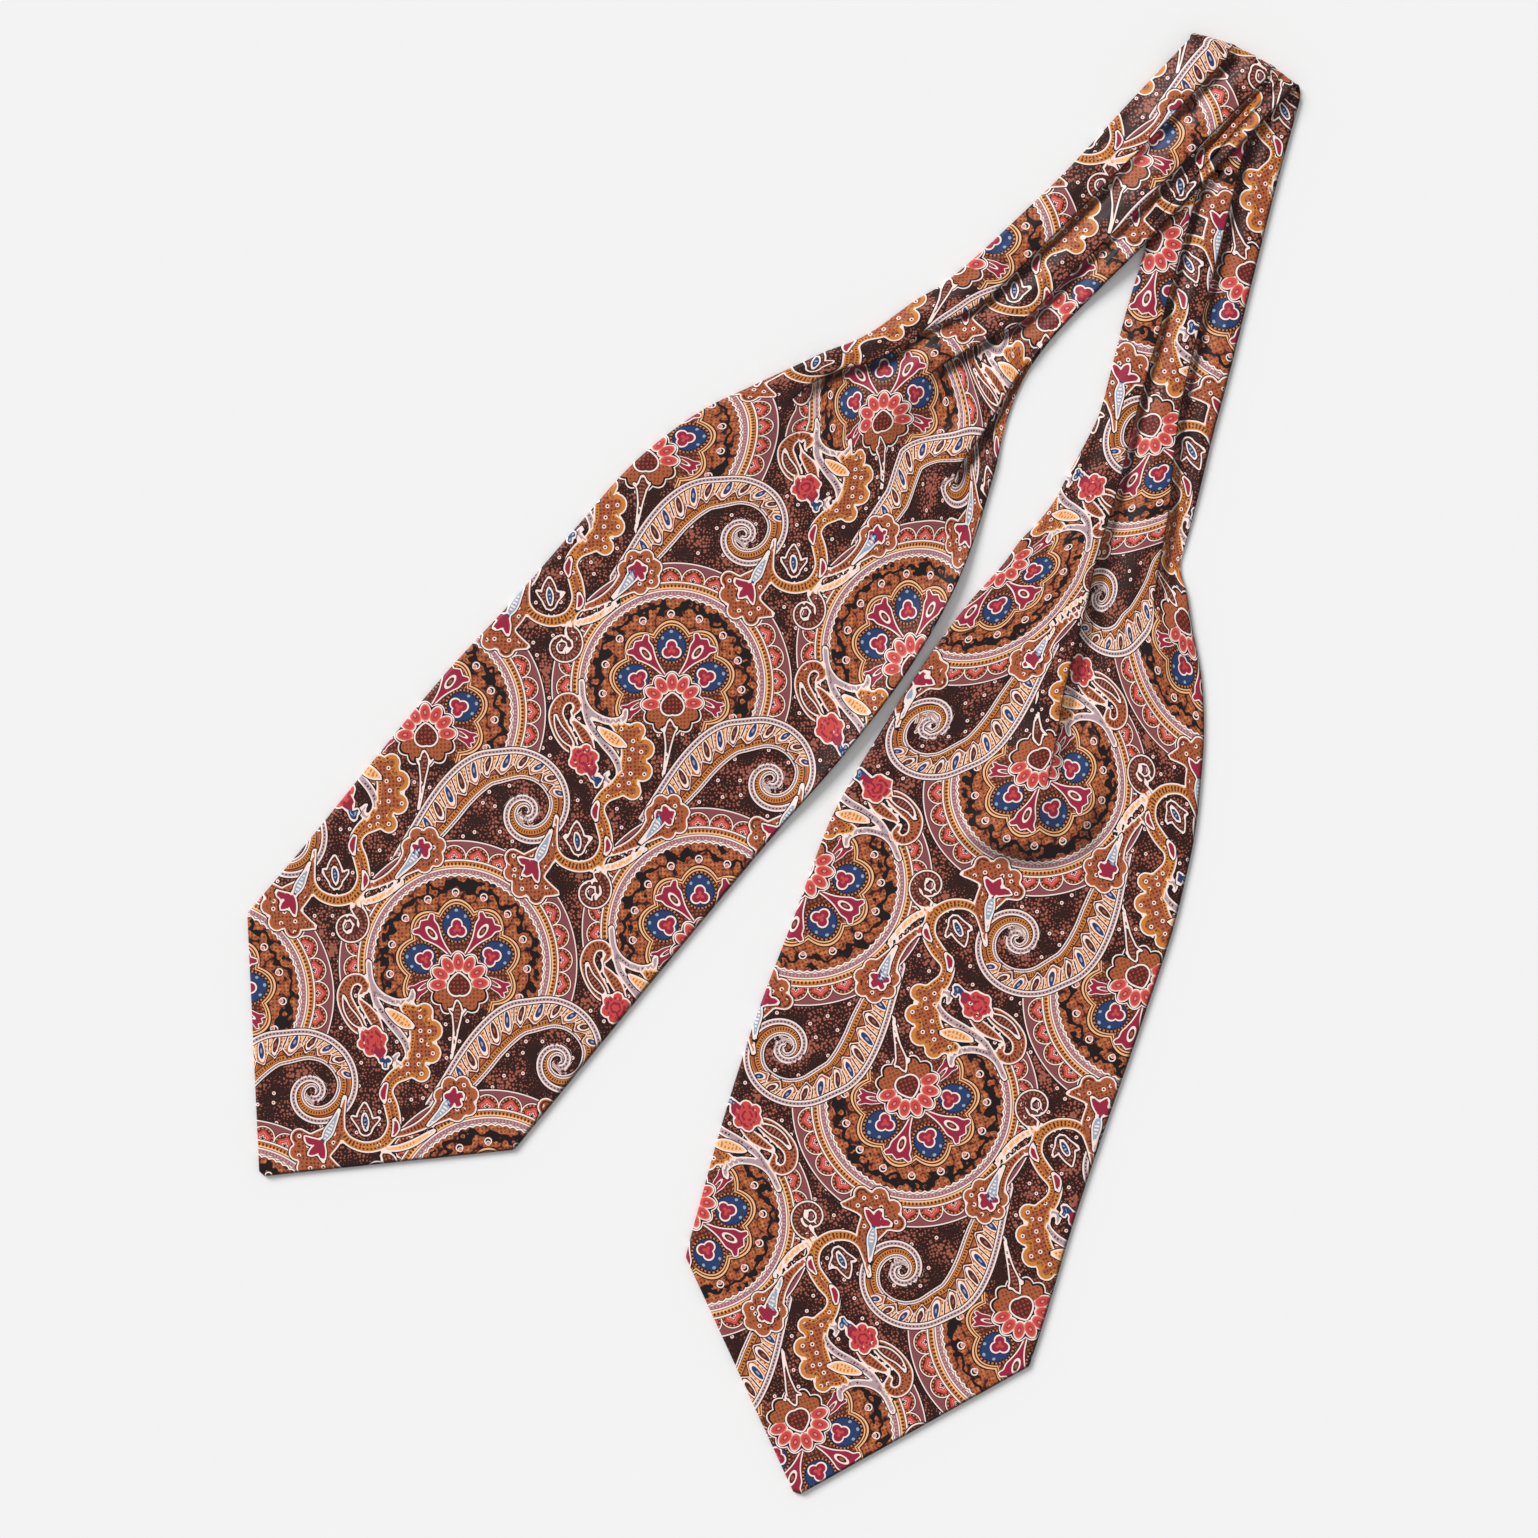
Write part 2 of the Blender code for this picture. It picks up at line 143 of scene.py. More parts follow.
# %% The folded edges and the soft puffs
LEFT_PLEATS = (
    (
        Fold(0.0, -6.7, LAYER, 15.0, 0.5),
        Fold(72.5, -9.8, LAYER, 15.0, 0.5),
        Fold(136.5, -14.4, LAYER, 14.0, 0.5),
        Fold(151.5, -17.2, 1.6, 14.0, 0.5),
        Fold(170.5, -25.4, 2.0, 13.0, 0.5),
        Fold(193.0, -32.4, 2.2, 17.0, 0.55),
        Fold(205.5, -40.6, 1.9, 19.0, 0.50),
        Fold(217.5, -45.9, 1.3, 20.0, 0.30),
        Fold(230.0, -48.0, 0.0, 20.0, 0.0),
    ),
    (
        Fold(0.0, 10.8, LAYER, 15.0, 0.5),
        Fold(53.0, 7.8, LAYER, 15.0, 0.5),
        Fold(125.0, 2.9, LAYER, 14.0, 0.5),
        Fold(139.5, 2.0, 1.5, 13.0, 0.47),
        Fold(156.5, -4.1, 2.2, 14.0, 0.36),
        Fold(169.0, -8.6, 2.6, 16.0, 0.23),
        Fold(178.0, -11.2, 1.4, 18.0, 0.11),
        Fold(186.0, -13.0, 0.0, 16.0, 0.0),
    ),
    (
        Fold(137.0, 14.0, 0.0, 10.0, 0.0),
        Fold(150.0, 14.6, 0.4, 10.0, 0.0),
        Fold(161.0, 15.2, 1.4, 12.0, 0.1),
        Fold(184.5, 19.7, 1.6, 15.0, 0.3),
        Fold(201.0, 21.6, 1.3, 18.0, 0.3),
        Fold(214.0, 25.5, 0.0, 18.0, 0.0),
    ),
)
RIGHT_PLEATS = (
    (
        Fold(0.0, -4.6, LAYER, 13.5, 0.5),
        Fold(71.0, -2.9, LAYER, 12.5, 0.5),
        Fold(122.5, -0.8, LAYER, 13.5, 0.5),
        Fold(149.0, 0.2, LAYER, 13.5, 0.5),
        Fold(185.5, 2.5, 1.6, 17.0, 0.5),
        Fold(209.0, 2.6, 1.9, 22.0, 0.5),
        Fold(236.0, 4.9, 2.0, 24.0, 0.5),
        Fold(267.5, 6.6, 2.0, 24.0, 0.4),
        Fold(290.5, 9.8, 1.7, 22.0, 0.25),
        Fold(310.0, 11.5, 0.0, 20.0, 0.0),
    ),
    (
        Fold(0.0, 8.6, LAYER, 12.5, 0.5),
        Fold(38.5, 9.8, LAYER, 12.5, 0.5),
        Fold(70.5, 11.9, LAYER, 13.5, 0.5),
        Fold(141.0, 16.4, LAYER, 15.0, 0.5),
        Fold(165.0, 20.5, 1.6, 16.0, 0.45),
        Fold(185.5, 25.0, 1.9, 18.0, 0.35),
        Fold(210.0, 28.3, 1.3, 20.0, 0.2),
        Fold(232.0, 32.0, 0.0, 20.0, 0.0),
    ),
)
LEFT_SWELLS = (
    Swell(196.0, -16.0, 34.0, 17.0, 1.4),
    Swell(240.0, -50.0, 26.0, 20.0, 1.0),
    Swell(214.0, -34.0, 26.0, 12.0, -0.7),
    Swell(224.0, 20.0, 40.0, 24.0, 0.9),
    Swell(390.0, -6.0, 150.0, 58.0, 1.2),
)
RIGHT_SWELLS = (
    Swell(312.0, 8.0, 34.0, 34.0, 2.9),
    Swell(334.0, 3.0, 10.0, 31.0, 1.9),
    Swell(316.0, 30.0, 22.0, 10.0, 1.5),
    Swell(349.0, 4.0, 16.0, 37.0, -1.2),
    Swell(240.0, 38.0, 34.0, 17.0, 1.2),
    Swell(232.0, -16.0, 40.0, 16.0, 0.9),
    Swell(410.0, 3.0, 140.0, 60.0, 1.1),
)
LEFT = Half(
    "left", math.radians(228.46), (9.7, -0.7), 137.0, 272.0, (611.0, 0.0),
    LEFT_EDGES, LEFT_PLEATS, LEFT_SWELLS,
)
RIGHT = Half(
    "right", math.radians(252.31), (0.5, 9.0), 155.0, 352.0, (617.0, 2.1),
    RIGHT_EDGES, RIGHT_PLEATS, RIGHT_SWELLS,
)
OPENING = 40.0

# %% [markdown]
# ## Reading the tables
#
# A table is read on a smooth curve through its rows. All of this works on whole arrays of points at once,
# because a sheet of silk has tens of thousands of them.


# %% Reading the tables
def ease(x):
    """Rises from 0 to 1 with a soft start and end."""
    x = np.clip(x, 0.0, 1.0)
    return x * x * (3.0 - 2.0 * x)


def mix(a, b, share):
    return a + (b - a) * share


def read(table, along, column):
    """A column of a table, on a smooth curve through its rows."""
    spots = np.array([row.along for row in table])
    values = np.array([getattr(row, column) for row in table])
    before = np.maximum(np.arange(len(spots)) - 1, 0)
    after = np.minimum(np.arange(len(spots)) + 1, len(spots) - 1)
    slopes = (values[after] - values[before]) / (spots[after] - spots[before])
    along = np.clip(along, spots[0], spots[-1])
    k = np.clip(np.searchsorted(spots, along, side="right") - 1, 0, len(spots) - 2)
    span = spots[k + 1] - spots[k]
    x = (along - spots[k]) / span
    step = values[k] + (values[k + 1] - values[k]) * x * x * (3.0 - 2.0 * x)
    return step + span * x * (1.0 - x) * (slopes[k] * (1.0 - x) - slopes[k + 1] * x)


def edges_at(half, along):
    """The left and the right edge: from the table down to the corners, then straight to the point."""
    corner = half.edges[-1]
    share = np.clip((along - corner.along) / (half.tip[0] - corner.along), 0.0, 1.0)
    left = mix(read(half.edges, along, "left"), half.tip[1], share)
    right = mix(read(half.edges, along, "right"), half.tip[1], share)
    return left, right


# %% [markdown]
# ## Heights of the cloth
#
# The front of a blade lies two layers above the table. Its pleats stand a little higher beside their folded
# edges, with a hollow on the other side, where the photograph is dark, and the released cloth stands up in soft
# puffs with a dent beside some. The left band rides over the right one at the neck.

# %% Heights
TUCK_LEVEL = 6.6
HOLLOW = 1.5
HOLLOW_START = 0.4
HOLLOW_REACH = 0.75
LEAST_HEIGHT = 0.95
LIFT = 3.9
LIFT_MARGIN = 1.5
LIFT_FALL = 22.0


def pleat_rise(rows, along, across):
    """The height of one pleat to the left of its folded edge, and the hollow to the right of it."""
    back = read(rows, along, "across") - across
    reach = read(rows, along, "reach")
    level = np.minimum(TUCK_LEVEL, reach / 2)
    rise = read(rows, along, "height") * ease((reach - back) / (reach - level))
    past = (-back - HOLLOW_START) / (HOLLOW_REACH * reach - HOLLOW_START)
    hollow = ease(past / 0.35) * ease((1.0 - past) / 0.65)
    depth = HOLLOW * np.minimum(1.0, read(rows, along, "height") / LAYER)
    return np.where(back < 0.0, -depth * hollow, rise)


def swell_rise(half, along, across):
    """The soft puffs and the crown of a blade."""
    total = np.zeros_like(across)
    for swell in half.swells:
        x = (along - swell.along) / swell.length
        y = (across - swell.across) / swell.width
        total += swell.height * ease(1.0 - np.hypot(x, y))
    return total


def lift(half, along, across):
    """How far the left band is carried off the table by the right one under it."""
    if half is RIGHT:
        return np.zeros_like(across)
    turn = LEFT.heading - RIGHT.heading
    along_right = along * math.cos(turn) - across * math.sin(turn)
    across_right = along * math.sin(turn) + across * math.cos(turn)
    clear = edges_at(RIGHT, along_right)[0] - LIFT_MARGIN - across_right
    return LIFT * (1.0 - ease(clear / LIFT_FALL))


# %% [markdown]
# ## The columns of a sheet
#
# A sheet is a grid, and its columns run along the cloth. Ten of them follow each folded edge: over the lip,
# round it, back under it and out again on the next strip, so that the pleat really overhangs and throws its
# own fine shadow. Where a fold has opened, the same ten columns lie flat side by side.

# %% The turned lip of a pleat
LIP_OUT = np.array([-1.6, -0.6, -0.15, 0.0, -0.12, -0.5, -1.5, -1.55, -0.3, 0.4])
LIP_FLAT = np.array([-1.6, -1.2, -0.8, -0.4, -0.2, 0.0, 0.2, 0.4, 0.6, 0.8])
LIP_HEIGHT = np.array([1.0, 1.0, 1.0, 1.0, 1.0, 1.0, 1.0, 0.0, 0.0, 0.0])
LIP_DROP = np.array([0.0, 0.02, 0.17, 0.5, 0.85, 1.0, 1.0, 0.0, 0.0, 0.0])
LIP_HIDES = np.array([0.0, 0.0, 0.0, 0.01, 0.03, 0.06, 0.5, 0.55, 0.98, 1.0])
LIP_THICKNESS = 0.9

# How far in from an outer edge its columns lie, and the height of the edge in the rounded turn there
TURNED = np.array([0.0, 0.12, 0.4, 0.9, 1.6])
SEAM_HEIGHT = 1.15


def column_plan(half, in_span):
    """What each column follows: an outer edge, a fold, or a share of the span between two of them."""
    plan = [("left", None, i) for i in range(len(TURNED))]
    for k in range(len(half.pleats) + 1):
        plan += [("span", k, (i + 1) / (in_span + 1)) for i in range(in_span)]
        if k < len(half.pleats):
            plan += [("fold", k, i) for i in range(len(LIP_OUT))]
    return plan + [("right", None, i) for i in reversed(range(len(TURNED)))]


def cloth_across(half, along, across, folds_passed):
    """How far across the flat cloth a point is, with the cloth that the folds before it hide."""
    left, right = edges_at(half, along)
    corner = half.edges[-1]
    point = np.clip((half.tip[0] - along) / (half.tip[0] - corner.along), 0.0, 1.0)
    cut_left, cut_right = (mix(half.tip[1], edge, point) for edge in (corner.left, corner.right))
    spare = np.maximum((cut_right - cut_left) - (right - left), 0.0)
    hidden = [spare * read(rows, along, "hides") for rows in half.pleats]
    stretch = (cut_right - cut_left - sum(hidden)) / (right - left)
    passed = sum(h * share for h, share in zip(hidden, folds_passed))
    return cut_left + (across - left) * stretch + passed


# %% One column of a front
def front_column(half, spec, place, along):
    """Where one column lies: its across, its height, and its place across the flat cloth."""
    kind, k, i = spec
    left, right = edges_at(half, along)
    edge = TURNED[-1] * np.minimum(1.0, (right - left) / 14.0)
    folds = [read(rows, along, "across") for rows in half.pleats]
    passed = [1.0 if kind == "right" or (k is not None and k > n) else 0.0 for n in range(len(folds))]
    own = 0.0
    roll = np.ones_like(along)
    if kind == "fold":
        height = read(half.pleats[k], along, "height")
        folded = ease(height / 0.5)
        lip = np.minimum(LIP_THICKNESS, 0.7 * height)
        across = folds[k] + mix(LIP_FLAT[i], LIP_OUT[i], folded)
        own = LIP_HEIGHT[i] * height - LIP_DROP[i] * lip
        passed[k] = LIP_HIDES[i]
    elif kind == "span":
        first = left + edge if k == 0 else folds[k - 1] + LIP_OUT[-1]
        last = right - edge if k == len(folds) else folds[k] + LIP_OUT[0]
        across = mix(first, last, i)
    else:
        inset = TURNED[i] / TURNED[-1] * edge
        across = left + inset if kind == "left" else right - inset
        roll = np.sqrt(1.0 - (1.0 - TURNED[i] / TURNED[-1]) ** 2) * np.ones_like(along)
    if kind in ("span", "fold"):
        opened = ease(1.0 - (half.flat - along) / OPENING)
        across = mix(across, mix(left + edge, right - edge, place), opened)
    rises = [pleat_rise(rows, along, across) for n, rows in enumerate(half.pleats) if n != k or kind != "fold"]
    if kind == "fold":
        rises = rises[k:]
    top = np.maximum(FRONT_LOW + sum(rises) + own + swell_rise(half, along, across), LEAST_HEIGHT)
    height = SEAM_HEIGHT + (top - SEAM_HEIGHT) * roll
    return across, height, cloth_across(half, along, across, passed)


# %% [markdown]
# ## From the band round the neck fold
#
# The ends of the bands lie on a slant, along the neck fold. The sheet of the left front goes on round the fold
# in half an ellipse and ends under the right half. The right front has the inner turn.

# %% Placing a point on the table
FOLD_CENTRE = (194.5, 288.25)
FOLD_PRESSED = (-21.3, 10.7)
FOLD_OPEN = (20.1, -10.2)
FOLD_BOW = 3.0
TURN_INSET = 2.4
TURN_ROWS = 16


def slanted(half, along, share):
    """Slants the sections of a band towards the neck fold, where they lie along its line."""
    level = sum(half.start) / 2
    turned = ease(1.0 - (along - level) / (half.stitch - level))
    return along + (mix(*half.start, share) - level) * turned


def to_table(half, along, across):
    """Points of a half's frame, on the table."""
    x = FOLD_CENTRE[0] + along * math.cos(half.heading) - across * math.sin(half.heading)
    y = FOLD_CENTRE[1] + along * math.sin(half.heading) + across * math.cos(half.heading)
    return x, y


def neck_turn(half, share, start, tops):
    """Rows from the end of a band's front round the neck fold, from the far one to the near one."""
    other = RIGHT if half is LEFT else LEFT
    left, right = edges_at(other, np.zeros(1))
    far = to_table(other, mix(*other.start, share), mix(left[0], right[0], share))
    fold = [c + mix(a, b, share) for a, b, c in zip(FOLD_PRESSED, FOLD_OPEN, FOLD_CENTRE)]
    middle = [(a + b) / 2 for a, b in zip(start, far)]
    distance = np.hypot(fold[0] - middle[0], fold[1] - middle[1])
    inset = 0.0 if half is LEFT else TURN_INSET
    reach = (distance + FOLD_BOW * np.sin(math.pi * np.clip(share, 0.0, 1.0)) - inset) / distance
    end = 0.02 if half is LEFT else LIFT - 0.15
    rows = []
    for i in range(TURN_ROWS, 0, -1):
        angle = math.pi * i / TURN_ROWS
        x, y = (m + (f - m) * reach * math.sin(angle) + (s - m) * math.cos(angle)
                for m, f, s in zip(middle, fold, start))
        z = mix(end, tops, 0.5 + 0.5 * math.cos(angle))
        rows.append((x, y, z, np.full_like(x, -math.sin(angle / 2) * 16.0)))
    return rows


# %% [markdown]
# ## The print's own place on the cloth
#
# The print must follow the cloth, not the table, so each point also gets its place on the flat cloth. The
# repeat is nearly square, and it stands at a small angle to the motifs. Both halves are cut from one length, so
# the print of the right half stands on its head.

# %% Where the print lies
REPEAT = (102.4, 101.2)
REPEAT_TURN = math.radians(5.6)
# where one medallion's middle lies on each half, along and across, and which way the print stands up
PRINT_START = {"left": (347.8, -7.2), "right": (449.2, 0.0)}
PRINT_UP = {"left": math.radians(91.0), "right": math.radians(-69.0)}


def print_place(half, along, cloth):
    """Millimetres on the flat cloth, right and up from the middle of a medallion."""
    along_0, across_0 = (np.array([value]) for value in PRINT_START[half.name])
    passed = [float(across_0[0] > read(rows, along_0, "across")[0]) for rows in half.pleats]
    cloth_0 = cloth_across(half, along_0, across_0, passed)
    turn = half.heading - PRINT_UP[half.name] + math.pi / 2
    a, c = along - along_0[0], cloth - cloth_0[0]
    return a * math.cos(turn) - c * math.sin(turn), a * math.sin(turn) + c * math.cos(turn)

# %% [markdown]
# ## Drawing the print's curves
#
# Scrolls, leaves and flowers are drawn as strokes: a smooth path with a width at each point, as a pen leaves
# it. For each point of the cloth, the strokes give how far it is outside the nearest one, and how far along
# that one it lies. These two smooth fields are kept on the mesh, and the material turns them to crisp lines.

# %% Pen strokes
Stroke = namedtuple("Stroke", "layer style path")
RIGHT_STEP = np.array([math.cos(REPEAT_TURN), math.sin(REPEAT_TURN)]) * REPEAT[0]
UP_STEP = np.array([-math.sin(REPEAT_TURN), math.cos(REPEAT_TURN)]) * REPEAT[1]


def smooth(path, steps=6):
    """A smooth curve through a path's points, with every value of a point carried along."""
    path = np.array(path, float)
    ends = np.vstack([2 * path[0] - path[1], path, 2 * path[-1] - path[-2]])
    t = np.arange(steps)[:, None] / steps
    parts = []
    for a, b, c, d in zip(ends, ends[1:], ends[2:], ends[3:]):
        parts.append(0.5 * (2 * b + (c - a) * t + (2 * a - 5 * b + 4 * c - d) * t**2 + (3 * b - a - 3 * c + d) * t**3))
    return np.vstack(parts + [path[-1:]])


def nearest(points, path, cost):
    """For each point, the place on the path with the least cost: side distance, length along, width. The cost
    also gets how far a point is past the ends of each short piece of the path."""
    x, y, width = path.T
    lengths = np.concatenate([[0.0], np.cumsum(np.hypot(np.diff(x), np.diff(y)))])
    best = np.full(len(points), np.inf)
    found = np.zeros((3, len(points)))
    for i in range(len(path) - 1):
        dx, dy = x[i + 1] - x[i], y[i + 1] - y[i]
        size = math.hypot(dx, dy)
        if size < 1e-6:
            continue
        px, py = points[:, 0] - x[i], points[:, 1] - y[i]
        foot = (px * dx + py * dy) / size**2
        share = np.clip(foot, 0.0, 1.0)
        side = np.where(px * dy - py * dx >= 0.0, 1.0, -1.0)
        off = side * np.hypot(px - share * dx, py - share * dy)
        wide = mix(width[i], width[i + 1], share)
        price = cost(off, wide, np.abs(foot - share) * size)
        better = price < best
        best[better] = price[better]
        found[:, better] = np.array([off, lengths[i] + share * size, wide])[:, better]
    return best, found


def into_repeat(places):
    """Moves points by whole repeats, to beside the medallion in hand."""
    turn = np.array([[math.cos(REPEAT_TURN), -math.sin(REPEAT_TURN)], [math.sin(REPEAT_TURN), math.cos(REPEAT_TURN)]])
    square = places @ turn
    square -= np.round(square / REPEAT) * REPEAT
    return square @ turn.T


def copies(path, points, margin):
    """Each copy of a path that comes near the points, with which points those are."""
    low, high = path[:, :2].min(0) - margin, path[:, :2].max(0) + margin
    for p in range(-2, 3):
        for q in range(-2, 3):
            step = p * RIGHT_STEP + q * UP_STEP
            near = np.all((points > low + step) & (points < high + step), axis=1)
            if near.any():
                yield near, points[near] - step


# %% [markdown]
# ## The scroll
#
# The great scroll of the print is one beaded ribbon. It rises beside the medallion, arches over and winds up in
# two turns. On its inner side hangs a leafy body, wide at the arch and narrow in the eye. All places in the
# tables of the print are millimetres to the right of the medallion's middle and above it.

# %% The path of the scroll
EYE = (40.5, -40.5)
SCROLL_START = 27.0
SCROLL_FROM = 115.0
SCROLL_TURNS = 1.75
SCROLL_HALVING = 168.0
SCROLL_TAIL = (
    (-14.5, -56.5, 1.0),
    (-11.5, -52.0, 6.0),
    (-7.0, -45.5, 11.5),
    (-0.5, -36.0, 14.0),
    (6.5, -27.5, 14.5),
    (14.0, -20.8, 14.5),
    (21.5, -17.0, 13.8),
)
# how far the spiral has turned, in degrees, and how wide its body is there
SCROLL_BODY = ((0.0, 12.8), (50.0, 9.6), (100.0, 7.4), (200.0, 6.0), (300.0, 4.5), (400.0, 3.1), (740.0, 1.2))


def spiral(middle, size, start, turned, halving, way=-1.0):
    """Places on a spiral that winds up: they turn from a start angle, and the size halves as it goes."""
    angles = np.radians(start + way * turned)
    sizes = size * 0.5 ** (turned / halving)
    return middle[0] + sizes * np.cos(angles), middle[1] + sizes * np.sin(angles)


def scroll_path():
    turned = np.arange(0.0, 360.0 * SCROLL_TURNS, 20.0)
    x, y = spiral(EYE, SCROLL_START, SCROLL_FROM, turned, SCROLL_HALVING)
    body = np.interp(turned, *zip(*SCROLL_BODY))
    return smooth(np.vstack([SCROLL_TAIL, np.stack([x, y, body], axis=1)]), steps=4)


# %% [markdown]
# ## Leaves, curls and flowers
#
# Round each medallion grow a brown blossom on a long tail, a lobed crescent, a dark curl, a paisley with a
# coral flower, and an ochre leaf whose tail winds round a dark blossom. Each row of a path is a place and the
# pen's half width there. A flower is a ring of short strokes, and a curl is a spiral one.

# %% The motifs of the ground
# in this order, finishes that meet in one layer are neighbours, so that no third one shows between them
STYLES = ("dark", "brown", "ochre", "peach", "stem", "grey", "coral", "crimson", "navy", "sky")
LEAVES = (
    # the brown blossom and its tail
    ("low", "brown", ((-10.5, 47.5, 5.0), (-16.0, 43.8, 5.0), (-21.5, 39.5, 3.0), (-28.0, 35.6, 1.7), (-34.0, 33.2, 1.2), (-39.5, 31.8, 0.8))),
    ("low", "peach", ((-22.0, 33.6, 0.5), (-30.5, 28.8, 1.1), (-36.5, 26.8, 1.0), (-42.0, 26.4, 0.6))),
    ("high", "sky", ((-14.0, 47.0, 0.5), (-16.2, 44.4, 1.9), (-19.0, 41.0, 1.3), (-24.5, 35.8, 0.4))),
    # the lobed crescent
    ("low", "brown", ((43.5, 58.0, 0.5), (42.0, 51.0, 1.2), (38.6, 43.0, 4.0), (31.5, 37.0, 6.2), (30.5, 33.0, 6.0), (36.0, 29.5, 3.5), (42.5, 27.0, 0.8))),
    ("low", "brown", ((30.0, 38.0, 4.0), (24.5, 42.0, 3.2))),
    ("low", "brown", ((30.0, 36.0, 4.0), (23.8, 35.8, 3.2))),
    ("low", "brown", ((30.0, 35.0, 4.0), (27.0, 29.4, 3.4))),
    ("low", "brown", ((33.0, 33.0, 4.0), (33.6, 26.2, 3.2))),
    ("high", "crimson", ((33.4, 39.6, 1.0), (29.0, 40.2, 1.5), (27.0, 42.0, 0.4))),
    ("high", "crimson", ((33.4, 39.2, 1.0), (30.6, 36.2, 1.7), (28.4, 34.8, 0.4))),
    ("high", "crimson", ((33.8, 39.2, 1.0), (33.8, 35.4, 1.6), (34.4, 31.8, 0.4))),
    ("high", "sky", ((34.6, 40.6, 0.8), (36.6, 43.8, 1.7), (39.2, 48.6, 0.9), (41.2, 53.0, 0.3))),
    # the paisley, with its wound tip
    ("low", "brown", ((-40.0, -26.5, 1.2), (-42.8, -23.0, 3.0), (-46.0, -17.5, 3.3), (-48.0, -11.0, 2.7), (-45.6, -5.6, 2.2), (-41.2, -4.8, 1.8), (-38.9, -8.2, 1.3), (-41.2, -10.9, 0.9))),
    ("low", "brown", ((-41.5, -13.5, 0.6), (-38.6, -17.0, 1.6), (-35.6, -21.5, 2.0), (-33.2, -26.5, 1.0))),
    ("high", "dark", ((-48.2, -11.5, 0.4), (-47.0, -16.5, 1.3), (-44.2, -20.8, 1.8), (-41.4, -24.0, 0.8))),
    # the beaded ribbon that leaves the ring, and its curls
    ("low", "grey", ((-37.4, 2.0, 0.9), (-36.6, -6.0, 1.0), (-32.6, -11.6, 1.1), (-26.0, -14.6, 1.1), (-20.4, -13.6, 1.0), (-19.4, -10.4, 0.8))),
    ("low", "grey", ((-36.4, -8.0, 0.9), (-34.4, -15.0, 1.1), (-29.4, -22.6, 1.2), (-24.0, -29.6, 1.2), (-22.0, -36.0, 1.1), (-25.0, -40.4, 1.0), (-28.4, -38.0, 0.8), (-26.4, -35.6, 0.6))),
    # the ochre leaf and the tail that winds round the dark blossom
    ("low", "ochre", ((-23.5, -16.5, 1.4), (-19.0, -20.0, 3.6), (-16.6, -27.0, 4.4), (-17.6, -34.5, 4.4), (-21.6, -41.0, 3.8), (-28.4, -45.2, 2.6), (-31.4, -50.5, 2.4), (-29.4, -57.5, 2.6), (-28.6, -65.0, 2.4), (-32.6, -71.4, 2.1), (-40.0, -73.4, 1.9), (-47.0, -70.8, 1.7), (-50.0, -66.0, 1.3), (-49.6, -61.8, 0.7))),
    ("low", "ochre", ((-17.5, -20.0, 3.0), (-14.8, -18.8, 3.4))),
    ("low", "ochre", ((-16.5, -27.0, 3.0), (-12.0, -26.4, 4.2))),
    ("low", "ochre", ((-17.5, -34.5, 3.0), (-12.8, -35.4, 4.0))),
    ("low", "ochre", ((-21.0, -41.0, 3.0), (-17.0, -43.4, 3.4))),
    ("high", "peach", ((-30.6, -17.2, 0.5), (-27.4, -19.8, 1.7), (-23.6, -22.6, 2.1), (-19.6, -24.8, 0.5))),
    ("high", "crimson", ((-31.6, -48.0, 0.8), (-32.8, -51.6, 1.3), (-32.2, -55.0, 0.4))),
    ("high", "crimson", ((-28.4, -62.0, 0.4), (-27.6, -65.6, 1.2), (-29.0, -69.0, 0.4))),
    # small leaves in the gaps
    ("low", "dark", ((-1.2, -14.8, 0.4), (-1.0, -17.6, 1.6), (-1.4, -20.6, 1.8), (-2.0, -26.0, 0.9), (-3.2, -33.0, 0.4), (-4.4, -38.0, 0.2))),
    ("low", "dark", ((-1.2, -20.4, 1.0), (-4.6, -18.0, 0.3))),
    ("low", "dark", ((-1.2, -20.4, 1.0), (2.2, -18.2, 0.3))),
    # the dark blossom, of three pointed petals, and its drop
    ("low", "dark", ((-40.2, -66.0, 2.6), (-40.6, -61.0, 3.0), (-40.4, -55.6, 0.6))),
    ("low", "dark", ((-41.0, -64.6, 2.2), (-45.4, -61.0, 0.6))),
    ("low", "dark", ((-39.4, -64.6, 2.2), (-34.8, -61.8, 0.6))),
    ("high", "navy", ((-40.6, -60.2, 0.7), (-40.3, -63.0, 1.3), (-40.1, -66.4, 0.5))),
)
# a flower's layer and finish, its middle, how far out its petals end, how wide they are, and how many
Flower = namedtuple("Flower", "layer style middle size petal count")
FLOWERS = (
    Flower("low", "brown", (-12.6, 46.6), 6.2, 3.1, 7),
    Flower("high", "crimson", (-13.6, 46.8), 2.9, 1.5, 5),
    Flower("high", "coral", (-36.8, -30.0), 4.0, 2.3, 6),
    Flower("high", "crimson", (-33.8, -34.4), 1.0, 1.9, 3),
    Flower("high", "navy", (-31.6, -38.8), 1.5, 1.3, 3),
)
# a curl's layer and finish, its middle, its size and pen width at the start, the angle there, and its degrees
Curl = namedtuple("Curl", "layer style middle size width start turned")
CURLS = (
    Curl("low", "dark", (-45.0, 17.0), 7.2, 2.3, 75.0, 520.0),
)


